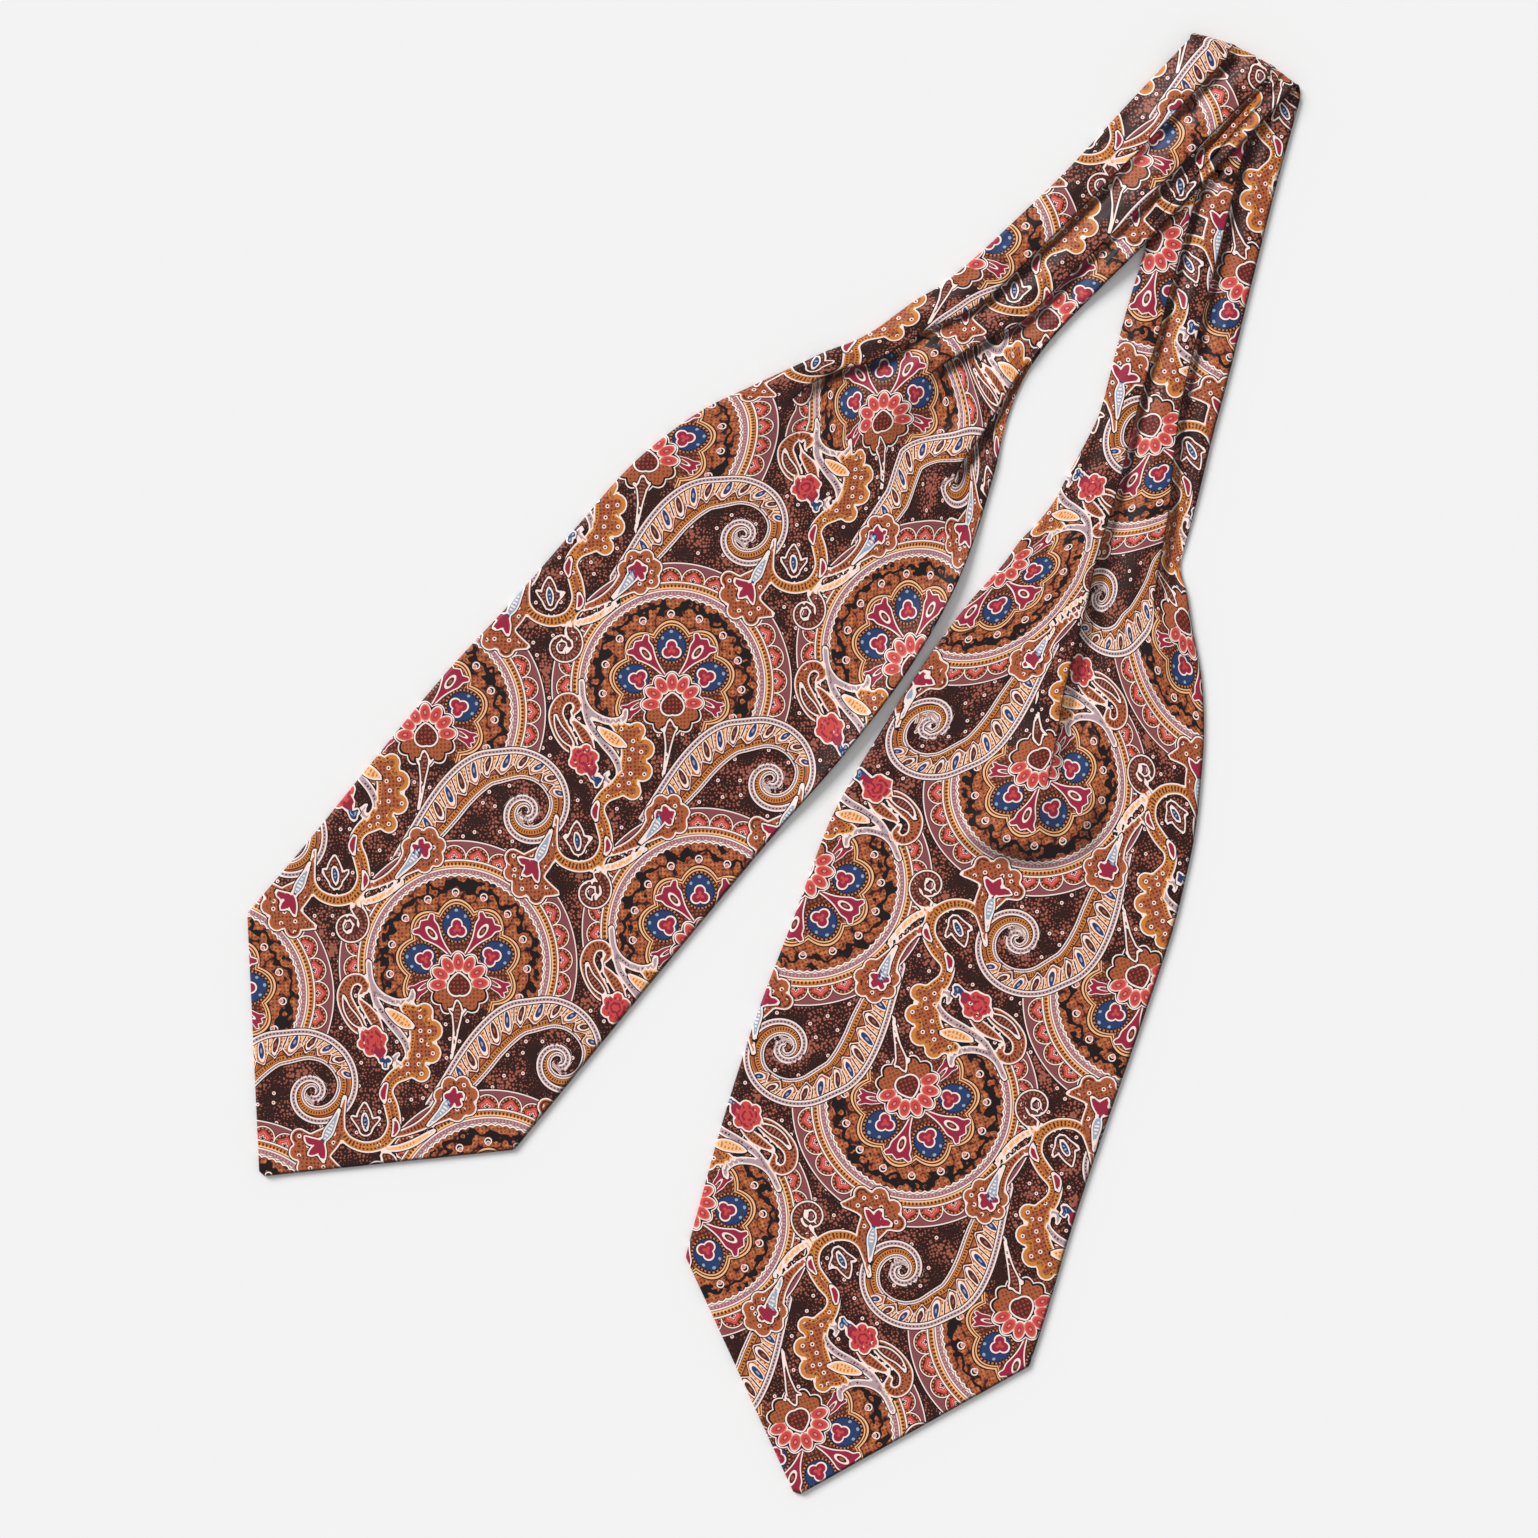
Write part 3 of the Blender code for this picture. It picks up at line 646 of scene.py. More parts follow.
def motif_strokes():
    """All strokes of one repeat, those of the blossoms and curls among them."""
    strokes = [Stroke(layer, style, smooth(path)) for layer, style, path in LEAVES]
    for flower in FLOWERS:
        for k in range(flower.count):
            angle = 2 * math.pi * (k + 0.25) / flower.count
            rows = [
                (flower.middle[0] + r * math.cos(angle), flower.middle[1] + r * math.sin(angle), w)
                for r, w in ((0.3 * flower.size, 0.7 * flower.petal), (flower.size, flower.petal))
            ]
            strokes.append(Stroke(flower.layer, flower.style, np.array(rows)))
    for curl in CURLS:
        turned = np.arange(0.0, curl.turned, 22.0)
        x, y = spiral(curl.middle, curl.size, curl.start, turned, 300.0)
        width = curl.width * 0.5 ** (turned / 300.0)
        width[0] *= 0.4
        strokes.append(Stroke(curl.layer, curl.style, smooth(np.stack([x, y, width], axis=1), steps=3)))
    return strokes


# %% The fields of the print
REACH = 4.0
OFF = 9.0


def stroke_field(points, strokes):
    """Outside distance of the nearest stroke, the length along it, and which finish it has."""
    field = np.tile([OFF, 0.0, 0.0], (len(points), 1))
    for stroke in strokes:
        margin = REACH + stroke.path[:, 2].max()
        for near, local in copies(stroke.path, points, margin):
            outside, (off, along, wide) = nearest(local, stroke.path, lambda d, w, past: np.abs(d) - w)
            old = field[near]
            style = np.full(len(local), (STYLES.index(stroke.style) + 0.5) / len(STYLES))
            new = np.stack([outside, along, style], axis=1)
            field[near] = np.where((outside < old[:, 0])[:, None], new, old)
    return field


def scroll_fields(points, path):
    """Two fields: the signed distance from the ribbon, the length along it and its body's width; and two
    distances that never change sign in a jump, from the ribbon's middle and from the whole body."""
    field = np.tile([OFF, 0.0, 1.0, OFF, OFF], (len(points), 1))
    least = np.full(len(points), np.inf)

    def cost(off, body, past):
        astray = (off > 0.0) & (past > 0.2)
        return np.where(astray, 99.0, np.maximum(off / (body + 1.5), -off / 1.75))

    for near, local in copies(path, points, REACH + path[:, 2].max()):
        price, (off, along, body) = nearest(local, path, cost)
        better = price < least[near]
        index = np.flatnonzero(near)[better]
        least[index] = price[better]
        both = np.stack([off, along, body, np.abs(off), np.maximum(off - body, -off)], axis=1)
        field[index] = both[better]
    return field[:, :3], field[:, 2:]


SCROLL = scroll_path()
STROKES = motif_strokes()
print("strokes in one repeat:", len(STROKES) + 1)

# %% [markdown]
# ## From a grid to a sheet
#
# Blender's own grid gives the faces. Its points are moved to their places on the cloth, the fields of the print
# are kept on it, and a Solidify modifier gives the silk its thickness, on the inner side. No point is left
# under the table.

# %% Making a sheet
SILK = 0.35


def make_sheet(name, rows):
    """A sheet of silk from rows of points: x and y on the table, height, and the place on the print."""
    x, y, z, right, up = (np.array(values) for values in zip(*rows))
    count, columns = x.shape
    bpy.ops.mesh.primitive_grid_add(x_subdivisions=count - 1, y_subdivisions=columns - 1, size=2.0)
    sheet = bpy.context.object
    sheet.name = name
    mesh = sheet.data
    flat = np.empty(len(mesh.vertices) * 3, np.float32)
    mesh.vertices.foreach_get("co", flat)
    flat = flat.reshape(-1, 3)
    i = np.rint((flat[:, 0] + 1) / 2 * (count - 1)).astype(int)
    j = np.rint((flat[:, 1] + 1) / 2 * (columns - 1)).astype(int)
    placed = np.stack([x[i, j], y[i, j], z[i, j]], axis=1) * MM
    mesh.vertices.foreach_set("co", placed.astype(np.float32).ravel())
    place = np.stack([right[i, j], up[i, j]], axis=1)
    points = into_repeat(place)
    ribbon, guard = scroll_fields(points, SCROLL)
    fields = {
        "print_place": np.column_stack([place, np.zeros(len(place))]),
        "scroll": ribbon,
        "scroll_guard": guard,
        "leaves": stroke_field(points, [s for s in STROKES if s.layer == "low"]),
        "blooms": stroke_field(points, [s for s in STROKES if s.layer == "high"]),
    }
    for key, values in fields.items():
        attribute = mesh.attributes.new(key, "FLOAT_VECTOR", "POINT")
        attribute.data.foreach_set("vector", values.astype(np.float32).ravel())
    mesh.update()
    wall = sheet.modifiers.new("Silk", "SOLIDIFY")
    wall.thickness = SILK * MM
    wall.offset = -1.0
    bpy.ops.object.modifier_apply(modifier=wall.name)
    solid = np.empty(len(mesh.vertices) * 3, np.float32)
    mesh.vertices.foreach_get("co", solid)
    print(name, "lowest point", round(float(solid[2::3].min()) * 1000, 2), "mm")
    solid[2::3] = np.maximum(solid[2::3], 0.0)
    mesh.vertices.foreach_set("co", solid)
    bpy.ops.object.shade_smooth_by_angle(angle=math.radians(55))
    bpy.ops.object.select_all(action="DESELECT")
    triangles = sum(len(p.vertices) - 2 for p in mesh.polygons)
    print(name, count, "x", columns, "points,", triangles, "triangles")
    return sheet


# %% Rows along a half
FRONT_STEP = 1.45
BACK_STEP = 3.0
TIP_WIDTH = 3.0


def stations(half, step):
    """Where the cross-sections lie, close together in the turned end of the point, and how far each is rolled."""
    corner = half.edges[-1]
    end = half.tip[0] - (half.tip[0] - corner.along) * TIP_WIDTH / (corner.right - corner.left)
    level = sum(half.start) / 2
    count = math.ceil((end - TURNED[-1] - level) / step)
    spots = list(np.linspace(level, end - TURNED[-1], count + 1)) + [end - t for t in TURNED[-2::-1]]
    rolls = [1.0] * (count + 1) + [math.sqrt(1 - (1 - t / TURNED[-1]) ** 2) for t in TURNED[-2::-1]]
    return np.array(spots), np.array(rolls)


def front_rows(half, in_span):
    """All rows of a front: the neck turn, the pleated band, the fan of pleats and the blade."""
    spots, rolls = stations(half, FRONT_STEP)
    plan = column_plan(half, in_span)
    width = np.subtract(*reversed(edges_at(half, spots)))
    parts = []
    for n, spec in enumerate(plan):
        place = (n - len(TURNED) + 1) / (len(plan) - 2 * len(TURNED) + 1)
        left, right = edges_at(half, spots)
        across = front_column(half, spec, place, spots)[0]
        along = slanted(half, spots, (across - left) / width)
        across, height, cloth = front_column(half, spec, place, along)
        height = SEAM_HEIGHT + (height - SEAM_HEIGHT) * rolls
        x, y = to_table(half, along, across)
        right_of, up_of = print_place(half, along, cloth)
        parts.append((x, y, height + lift(half, along, across), right_of, up_of, along, cloth, across))
    x, y, z, right_of, up_of, along, cloth, across = (np.array(p).T for p in zip(*parts))
    left, right = edges_at(half, along[0])
    share = (across[0] - left) / (right - left)
    rows = []
    for tx, ty, tz, back in neck_turn(half, share, (x[0], y[0]), z[0]):
        rows.append((tx, ty, tz, *print_place(half, along[0] + back, cloth[0])))
    return rows + list(zip(x, y, z, right_of, up_of))


def back_rows(half, in_span):
    """All rows of a backing, whose outer side is its underside: right edge first, so that it faces down."""
    spots, rolls = stations(half, BACK_STEP)
    shares = [("left", t) for t in TURNED] + [("span", (n + 1) / (in_span + 1)) for n in range(in_span)]
    shares += [("right", t) for t in reversed(TURNED)]
    parts = []
    for kind, value in reversed(shares):

        def across_at(along, kind=kind, value=value):
            left, right = edges_at(half, along)
            edge = TURNED[-1] * np.minimum(1.0, (right - left) / 14.0)
            if kind == "span":
                return mix(left + edge, right - edge, value)
            inset = value / TURNED[-1] * edge
            return left + inset if kind == "left" else right - inset

        left, right = edges_at(half, spots)
        along = slanted(half, spots, (across_at(spots) - left) / (right - left))
        across = across_at(along)
        roll = 1.0 if kind == "span" else math.sqrt(1 - (1 - value / TURNED[-1]) ** 2)
        height = (SEAM_HEIGHT - 0.1) * (1.0 - roll * rolls)
        x, y = to_table(half, along, across)
        cloth = cloth_across(half, along, across, [0.0] * len(half.pleats))
        parts.append((x, y, height + lift(half, along, across), *print_place(half, along, cloth)))
    return list(zip(*(np.array(p).T for p in zip(*parts))))


# %% [markdown]
# ## Colours and nodes
#
# Colours are written as a dyer's chart would give them, in sRGB hex, and one function turns them to the linear
# values that the shader works with. One more function adds any node with its inputs and settings.


# %% Colours and nodes
def dye(code):
    """An sRGB hex colour, as linear values."""
    parts = [int(code[i : i + 2], 16) / 255 for i in (1, 3, 5)]
    return tuple(v / 12.92 if v <= 0.04045 else ((v + 0.055) / 1.055) ** 2.4 for v in parts) + (1.0,)


def add(tree, kind, inputs=(), out=0, stops=None, curve=None, **settings):
    """Adds a node with its settings, sets or links its inputs, and gives one of its outputs."""
    made = tree.nodes.new("ShaderNode" + kind)
    for name, value in settings.items():
        setattr(made, name, value)
    if stops:
        ramp = made.color_ramp
        ramp.interpolation = "CONSTANT"
        while len(ramp.elements) < len(stops):
            ramp.elements.new(1.0)
        for element, (position, ink) in zip(ramp.elements, stops):
            element.position = position
            element.color = dye(INK[ink])
    if curve:
        points = made.mapping.curves[0].points
        while len(points) < len(curve):
            points.new(1.0, 0.0)
        for point, spot in zip(points, curve):
            point.location = spot
        made.mapping.update()
    for key, value in inputs.items() if isinstance(inputs, dict) else enumerate(inputs):
        if isinstance(value, bpy.types.NodeSocket):
            tree.links.new(value, made.inputs[key])
        elif value is not None:
            made.inputs[key].default_value = value
    return made.outputs[out]


INK = {
    "ground": "#2a110d",
    "night": "#170c0f",
    "umber": "#502219",
    "brown": "#a65733",
    "tan": "#c27342",
    "ochre": "#c67a34",
    "rust": "#a85a2c",
    "peach": "#f3b882",
    "cream": "#f5dfd6",
    "grey": "#ae959b",
    "mauve": "#9c6269",
    "plum": "#83474a",
    "pebble": "#9c5846",
    "coral": "#c4453f",
    "pink": "#d77d70",
    "crimson": "#93213b",
    "navy": "#233a66",
    "sky": "#8fa3b8",
}

# %% [markdown]
# ## Bands, dots and rings
#
# Nearly all of the print is drawn in three ways: bands of colour by a length in millimetres, dots in a row
# along a band, and rings round a place. Printers of such silks work in the same way, one screen for each ink.


# %% Bands, dots and rings
def banded(tree, below, shape, rows, where=None):
    """Lays bands of colour by a length in millimetres: each row starts a band, and the last one ends them."""
    low, high = rows[0][0], rows[-1][0]
    scaled = add(tree, "MapRange", [shape, low, high, 0.0, 1.0])
    stops = [((start - low) / (high - low), ink) for start, ink in rows[:-1]]
    bands = add(tree, "ValToRGB", [scaled], stops=stops)
    mask = add(tree, "Math", [shape, high], operation="LESS_THAN")
    if where is not None:
        mask = add(tree, "Math", [mask, where], operation="MULTIPLY")
    return add(tree, "MixRGB", [mask, below, bands])


def dotted(tree, below, shape, middle, reach, along, pitch, ink, where=None):
    """Lays a row of dots in the middle of a band."""
    beat = add(tree, "Math", [along, pitch / 2], operation="PINGPONG")
    mask = add(tree, "Math", [beat, pitch / 4], operation="GREATER_THAN")
    row = add(tree, "Math", [shape, middle, reach], operation="COMPARE")
    mask = add(tree, "Math", [mask, row], operation="MULTIPLY")
    if where is not None:
        mask = add(tree, "Math", [mask, where], operation="MULTIPLY")
    return add(tree, "MixRGB", [mask, below, dye(INK[ink])])


def distance(tree, x, y):
    """How far a point is from the place where x and y are both nothing."""
    return add(tree, "VectorMath", [add(tree, "CombineXYZ", [x, y])], operation="LENGTH", out="Value")


# %% [markdown]
# ## The ground of the print
#
# The ground is a near-black brown, sown with fine pebbles, and darker in patches. A Voronoi texture spreads
# them, a second one, almost regular, gives the stipple that fills the leaves, and a third the tiny rings. On
# the real cloth the pebbles are about 1.2 mm apart.

# %% The ground, the stipple and the tiny rings
PEBBLE_PITCH = 1.35
PATCH_SIZE = 11.0
STIPPLE_PITCH = 1.6
RING_PITCH = 8.5
EYELET_PITCH = 4.6


def paint_ground(tree, place):
    """The pebbled ground with its tiny rings, the mask of the stipple, and the distance from the leaves' rings."""
    pebbles = add(tree, "TexVoronoi", {"Vector": place, "Scale": 1 / PEBBLE_PITCH, "Randomness": 0.8}, voronoi_dimensions="2D")
    patch = add(tree, "TexNoise", {"Vector": place, "Scale": 1 / PATCH_SIZE, "Detail": 2.0}, noise_dimensions="2D")
    grown = add(tree, "Math", [patch, -1.2, pebbles], operation="MULTIPLY_ADD")
    shade = add(tree, "ValToRGB", [add(tree, "Math", [grown, 0.73], operation="ADD")], stops=((0.0, "pebble"), (0.36, "umber"), (0.50, "ground")))
    dots = add(tree, "TexVoronoi", {"Vector": place, "Scale": 1 / STIPPLE_PITCH, "Randomness": 0.3}, voronoi_dimensions="2D")
    stipple = add(tree, "Math", [dots, 0.30], operation="LESS_THAN")
    rings = add(tree, "TexVoronoi", {"Vector": place, "Scale": 1 / RING_PITCH, "Randomness": 0.7}, voronoi_dimensions="2D")
    rings = add(tree, "Math", [rings, RING_PITCH], operation="MULTIPLY")
    shade = banded(tree, shade, rings, ((0.0, "coral"), (0.36, "cream"), (0.74, "ground"), (1.1, None)))
    eyelets = add(tree, "TexVoronoi", {"Vector": place, "Scale": 1 / EYELET_PITCH, "Randomness": 0.45}, voronoi_dimensions="2D")
    return shade, stipple, add(tree, "Math", [eyelets, EYELET_PITCH], operation="MULTIPLY")


# %% [markdown]
# ## Painting the leaves
#
# Each leaf is outlined in cream with a dark hairline round it. Inside come a row of beads along the rim, a
# stippled core, and tiny rings where it is wide. The finish of each motif is read from a ramp by its number.
# The real beads are 1.0 mm apart, too fine for the picture, so all beads are drawn 1.5 mm apart.

# %% Leaves
BEAD_PITCH = 1.5
LEAF_INKS = (
    # fill, beads and core, in the order of STYLES
    ("umber", "pebble", "umber"),
    ("brown", "umber", "brown"),
    ("ochre", "umber", "brown"),
    ("peach", "ochre", "ochre"),
    ("cream", "cream", "cream"),
    ("grey", "umber", "grey"),
    ("coral", "crimson", "pink"),
    ("crimson", "crimson", "coral"),
    ("navy", "sky", "navy"),
    ("sky", "cream", "grey"),
)


def paint_leaves(tree, below, layer, stipple, eyelets):
    """One layer of leaves and flowers over what is painted already."""
    field = add(tree, "Attribute", attribute_name=layer, out="Vector")
    outside, along, style = add(tree, "SeparateXYZ", [field]).node.outputs
    fills, beads, cores = (
        add(tree, "ValToRGB", [style], stops=[(i / len(STYLES), inks[n]) for i, inks in enumerate(LEAF_INKS)])
        for n in range(3)
    )
    shade = banded(tree, below, outside, ((0.0, "cream"), (0.42, "night"), (0.85, None)))
    inner = add(tree, "Math", [outside, -0.18], operation="LESS_THAN")
    core = add(tree, "Math", [outside, -1.8], operation="LESS_THAN")
    filled = add(tree, "MixRGB", [core, fills, cores])
    speckled = add(tree, "Math", [stipple, core], operation="MULTIPLY")
    filled = add(tree, "MixRGB", [add(tree, "Math", [speckled, 0.8], operation="MULTIPLY"), filled, dye(INK["umber"])])
    shade = add(tree, "MixRGB", [inner, shade, filled])
    beat = add(tree, "Math", [along, BEAD_PITCH / 2], operation="PINGPONG")
    bead = add(tree, "Math", [beat, BEAD_PITCH / 4], operation="GREATER_THAN")
    row = add(tree, "Math", [outside, -1.05, 0.36], operation="COMPARE")
    bead = add(tree, "Math", [row, bead], operation="MULTIPLY")
    shade = add(tree, "MixRGB", [bead, shade, beads])
    wide = add(tree, "Math", [outside, -1.6], operation="LESS_THAN")
    return banded(tree, shade, eyelets, ((0.0, "night"), (0.42, "cream"), (0.85, "brown"), (1.1, None)), wide)


# %% [markdown]
# ## Painting the scroll
#
# The ribbon is banded by its distance from the middle line, with beads along it. The body is cut in fingers
# eight millimetres wide, each round one drop, blue and brown by turns, and it is closed by a second, finer
# ribbon and an ochre band with dark ticks, which go on alone where the scroll winds up.

# %% Scroll
FINGER = 8.0
FINGER_SLANT = 0.5


def paint_scroll(tree, below, stipple):
    """The ribbon, its leafy body, the fingers and the drops."""
    field = add(tree, "Attribute", attribute_name="scroll", out="Vector")
    off, along, _ = add(tree, "SeparateXYZ", [field]).node.outputs
    guard = add(tree, "Attribute", attribute_name="scroll_guard", out="Vector")
    body, near, deep = add(tree, "SeparateXYZ", [guard]).node.outputs
    on_body = add(tree, "Math", [deep, 0.7], operation="LESS_THAN")
    inward = add(tree, "Math", [off, body], operation="SUBTRACT")
    shade = banded(
        tree,
        below,
        inward,
        (
            (-14.0, "ochre"), (-5.2, "brown"), (-4.2, "umber"), (-3.7, "ochre"), (-1.75, "umber"), (-1.5, "cream"),
            (-1.1, "grey"), (-0.4, "cream"), (0.0, "night"), (0.6, None),
        ),
        on_body,
    )
    shade = dotted(tree, shade, inward, -2.7, 0.55, along, BEAD_PITCH, "umber", on_body)
    shade = dotted(tree, shade, inward, -0.75, 0.2, along, BEAD_PITCH, "umber", on_body)
    deep_in = add(tree, "Math", [inward, -5.2], operation="LESS_THAN")
    speck = add(tree, "Math", [stipple, deep_in], operation="MULTIPLY")
    speck = add(tree, "Math", [speck, on_body], operation="MULTIPLY")
    shade = add(tree, "MixRGB", [speck, shade, dye(INK["umber"])])

    large = add(tree, "Math", [body, 7.5], operation="GREATER_THAN")
    large = add(tree, "Math", [large, on_body], operation="MULTIPLY")
    slanted_along = add(tree, "Math", [off, FINGER_SLANT, along], operation="MULTIPLY_ADD")
    beat = add(tree, "Math", [slanted_along, FINGER / 2], operation="PINGPONG")
    end = add(tree, "Math", [body, 0.56, 0.8], operation="MULTIPLY_ADD")
    tip = add(tree, "Math", [beat, 3.4], operation="MINIMUM")
    tip = add(tree, "Math", [tip, -0.9, off], operation="MULTIPLY_ADD")
    tip = add(tree, "Math", [tip, end], operation="SUBTRACT")
    tip = add(tree, "Math", [tip, 2.0], operation="ADD")
    shade = banded(tree, shade, tip, ((-4.0, "peach"), (-0.5, "ochre"), (0.0, "cream"), (0.45, "umber"), (1.3, None)), large)
    inside = add(tree, "Math", [tip, 0.0], operation="LESS_THAN")
    inside = add(tree, "Math", [inside, large], operation="MULTIPLY")
    speck = add(tree, "Math", [stipple, inside], operation="MULTIPLY")
    shade = add(tree, "MixRGB", [speck, shade, dye(INK["rust"])])
    shade = banded(tree, shade, beat, ((0.0, "umber"), (0.32, "cream"), (0.72, None)), inside)
    aside = add(tree, "Math", [beat, FINGER / 2], operation="SUBTRACT")
    rise = add(tree, "Math", [body, -0.34, off], operation="MULTIPLY_ADD")
    reach = add(tree, "Math", [body, 0.25], operation="MULTIPLY")
    rise = add(tree, "Math", [rise, reach], operation="DIVIDE")
    lean = add(tree, "Math", [rise, 0.4, 1.6], operation="MULTIPLY_ADD")
    drop = distance(tree, add(tree, "Math", [aside, lean], operation="DIVIDE"), rise)
    pair = add(tree, "Math", [slanted_along, 2 * FINGER], operation="MODULO")
    pair = add(tree, "Math", [pair, FINGER], operation="GREATER_THAN")
    second = add(tree, "Math", [pair, inside], operation="MULTIPLY")
    shade = banded(tree, shade, drop, ((0.0, "grey"), (0.28, "navy"), (0.86, "cream"), (1.22, "brown"), (1.5, None)), inside)
    shade = banded(tree, shade, drop, ((0.0, "pebble"), (0.28, "umber"), (0.86, "cream"), (1.22, "umber"), (1.5, None)), second)

    middle = add(tree, "Math", [off], operation="ABSOLUTE")
    on_ribbon = add(tree, "Math", [near, 3.0], operation="LESS_THAN")
    shade = banded(tree, shade, middle, ((0.0, "grey"), (0.62, "cream"), (1.25, "night"), (1.65, None)), on_ribbon)
    return dotted(tree, shade, middle, 0.0, 0.3, along, BEAD_PITCH, "umber", on_ribbon)


# %% [markdown]
# ## Painting the medallion
#
# The medallion is drawn round its middle, by radius and angle. Outside stand coral florets under small arches,
# then a ticked ochre ring and a beaded one. The disc has a wreath of stippled leaves with dark gaps. All of it
# opens at the foot, where the scroll crosses.

# %% Medallion
FLORETS = 28
FLORET_PLACE = 42.7
CRESCENT_PLACE = 28.9
CRESCENT_ARC = math.radians(24.0)
WREATH_LEAF = 3.3
WREATH_DARK = 31.4


def paint_rings(tree, below, mx, my, radius, angle):
    """The florets under their arches, and the rings, open at the foot."""
    level = add(tree, "Math", [mx, 0.12, my], operation="MULTIPLY_ADD")
    where = add(tree, "Math", [level, -11.0], operation="GREATER_THAN")
    shade = banded(tree, below, radius, ((30.0, "plum"), (49.3, "cream"), (49.8, "night"), (50.3, None)), where)
    beat = add(tree, "Math", [angle, math.pi / FLORETS], operation="PINGPONG")
    aside = add(tree, "Math", [beat, FLORET_PLACE + 2.0], operation="MULTIPLY")
    rise = add(tree, "Math", [radius, FLORET_PLACE], operation="SUBTRACT")
    bloom = distance(tree, aside, rise)
    turn = add(tree, "Math", [aside, rise], operation="ARCTAN2")
    petal = add(tree, "Math", [add(tree, "Math", [turn, 5.0], operation="MULTIPLY")], operation="COSINE")
    core = add(tree, "Math", [petal, -0.35, bloom], operation="MULTIPLY_ADD")
    shade = banded(tree, shade, bloom, ((3.0, "umber"), (4.75, "cream"), (5.2, "night"), (5.5, None)), where)
    shade = dotted(tree, shade, bloom, 4.15, 0.35, turn, BEAD_PITCH / 4.15, "tan", where)
    rows = ((0.0, "night"), (0.8, "cream"), (1.15, "coral"), (1.9, "pink"), (2.3, "coral"), (3.3, "night"), (3.5, None))
    shade = banded(tree, shade, core, rows, where)
    shade = banded(
        tree,
        shade,
        radius,
        (
            (30.0, "umber"), (36.0, "cream"), (36.6, "mauve"), (38.2, "cream"), (38.8, "umber"), (39.1, "peach"), (39.9, "ochre"),
            (41.1, "umber"), (41.4, "cream"), (42.1, "night"), (42.4, None),
        ),
        where,
    )
    shade = dotted(tree, shade, radius, 37.4, 0.42, angle, BEAD_PITCH / 39.0, "grey", where)
    return dotted(tree, shade, radius, 40.3, 0.6, angle, BEAD_PITCH / 39.0, "umber", where)


def paint_wreath(tree, below, place, radius, angle, stipple, where):
    """The disc: stippled leaves on black, small crescents, and a scalloped rim."""
    cells = add(tree, "TexVoronoi", {"Vector": place, "Scale": 1 / WREATH_LEAF, "Randomness": 0.85}, voronoi_dimensions="2D")
    leafy = add(tree, "ValToRGB", [cells], stops=((0.0, "tan"), (0.24, "brown"), (0.60, "umber"), (0.72, "night")))
    leafy = add(tree, "MixRGB", [add(tree, "Math", [stipple, 0.7], operation="MULTIPLY"), leafy, dye(INK["umber"])])
    wander = add(tree, "TexNoise", {"Vector": place, "Scale": 1 / 5.0, "Detail": 1.0}, noise_dimensions="2D")
    ragged = add(tree, "Math", [wander, 11.0, radius], operation="MULTIPLY_ADD")
    gap = add(tree, "Math", [ragged, WREATH_DARK + 5.5, 1.35], operation="COMPARE")
    leafy = add(tree, "MixRGB", [gap, leafy, dye(INK["night"])])
    lean = add(tree, "Math", [angle, math.pi / 2], operation="SUBTRACT")
    lean = add(tree, "Math", [lean, CRESCENT_ARC / 2, -CRESCENT_ARC / 2], operation="WRAP")
    aside = add(tree, "Math", [lean, CRESCENT_PLACE], operation="MULTIPLY")
    rise = add(tree, "Math", [radius, CRESCENT_PLACE], operation="SUBTRACT")
    leafy = banded(tree, leafy, distance(tree, aside, rise), ((0.0, "night"), (1.1, "cream"), (1.6, "umber"), (1.9, None)))
    lower = add(tree, "Math", [rise, 0.8], operation="ADD")
    leafy = banded(tree, leafy, distance(tree, aside, lower), ((0.0, "pink"), (0.75, "cream"), (1.0, None)))
    wave = add(tree, "Math", [add(tree, "Math", [angle, 36.0], operation="MULTIPLY")], operation="SINE")
    rim = add(tree, "Math", [add(tree, "Math", [wave], operation="ABSOLUTE"), -0.7, radius], operation="MULTIPLY_ADD")
    rim_rows = ((0.0, "night"), (34.9, "cream"), (35.5, "umber"), (35.9, None))
    framed = banded(tree, below, rim, rim_rows, where)
    leaf_disc = add(tree, "Math", [rim, 34.7], operation="LESS_THAN")
    leaf_disc = add(tree, "Math", [leaf_disc, where], operation="MULTIPLY")
    return add(tree, "MixRGB", [leaf_disc, framed, leafy])


# %% [markdown]
# ## The heart of the medallion
#
# A lobed double line frames the heart. In it, three blue eyes with crimson trefoils stand round a palmette of
# coral petals, and crimson tulips grow between them.

# %% The heart
EYE_ARC = math.radians(80.0)
EYE_OUT = 15.6
LOBES = 4.5
PALMETTE = (0.0, -8.0, 0.0)
PETAL_ARC = math.radians(30.0)
PETAL_OUT = 8.8


def paint_frame(tree, below, radius, angle, stipple, where):
    """The lobed double line and the stippled brown inside it."""
    lobe = add(tree, "Math", [angle, LOBES, math.pi / 4], operation="MULTIPLY_ADD")
    lobe = add(tree, "Math", [add(tree, "Math", [lobe], operation="SINE")], operation="ABSOLUTE")
    shape = add(tree, "Math", [lobe, -4.0, radius], operation="MULTIPLY_ADD")
    rows = ((12.0, "umber"), (20.2, "peach"), (20.75, "umber"), (21.4, "peach"), (22.2, "night"), (22.8, None))
    shade = banded(tree, below, shape, rows, where)
    shade = dotted(tree, shade, shape, 19.4, 0.45, angle, BEAD_PITCH / 23.0, "tan", where)
    inside = add(tree, "Math", [shape, 18.6], operation="LESS_THAN")
    speck = add(tree, "Math", [add(tree, "Math", [stipple, inside], operation="MULTIPLY"), where], operation="MULTIPLY")
    return add(tree, "MixRGB", [add(tree, "Math", [speck, 0.7], operation="MULTIPLY"), shade, dye(INK["brown"])])


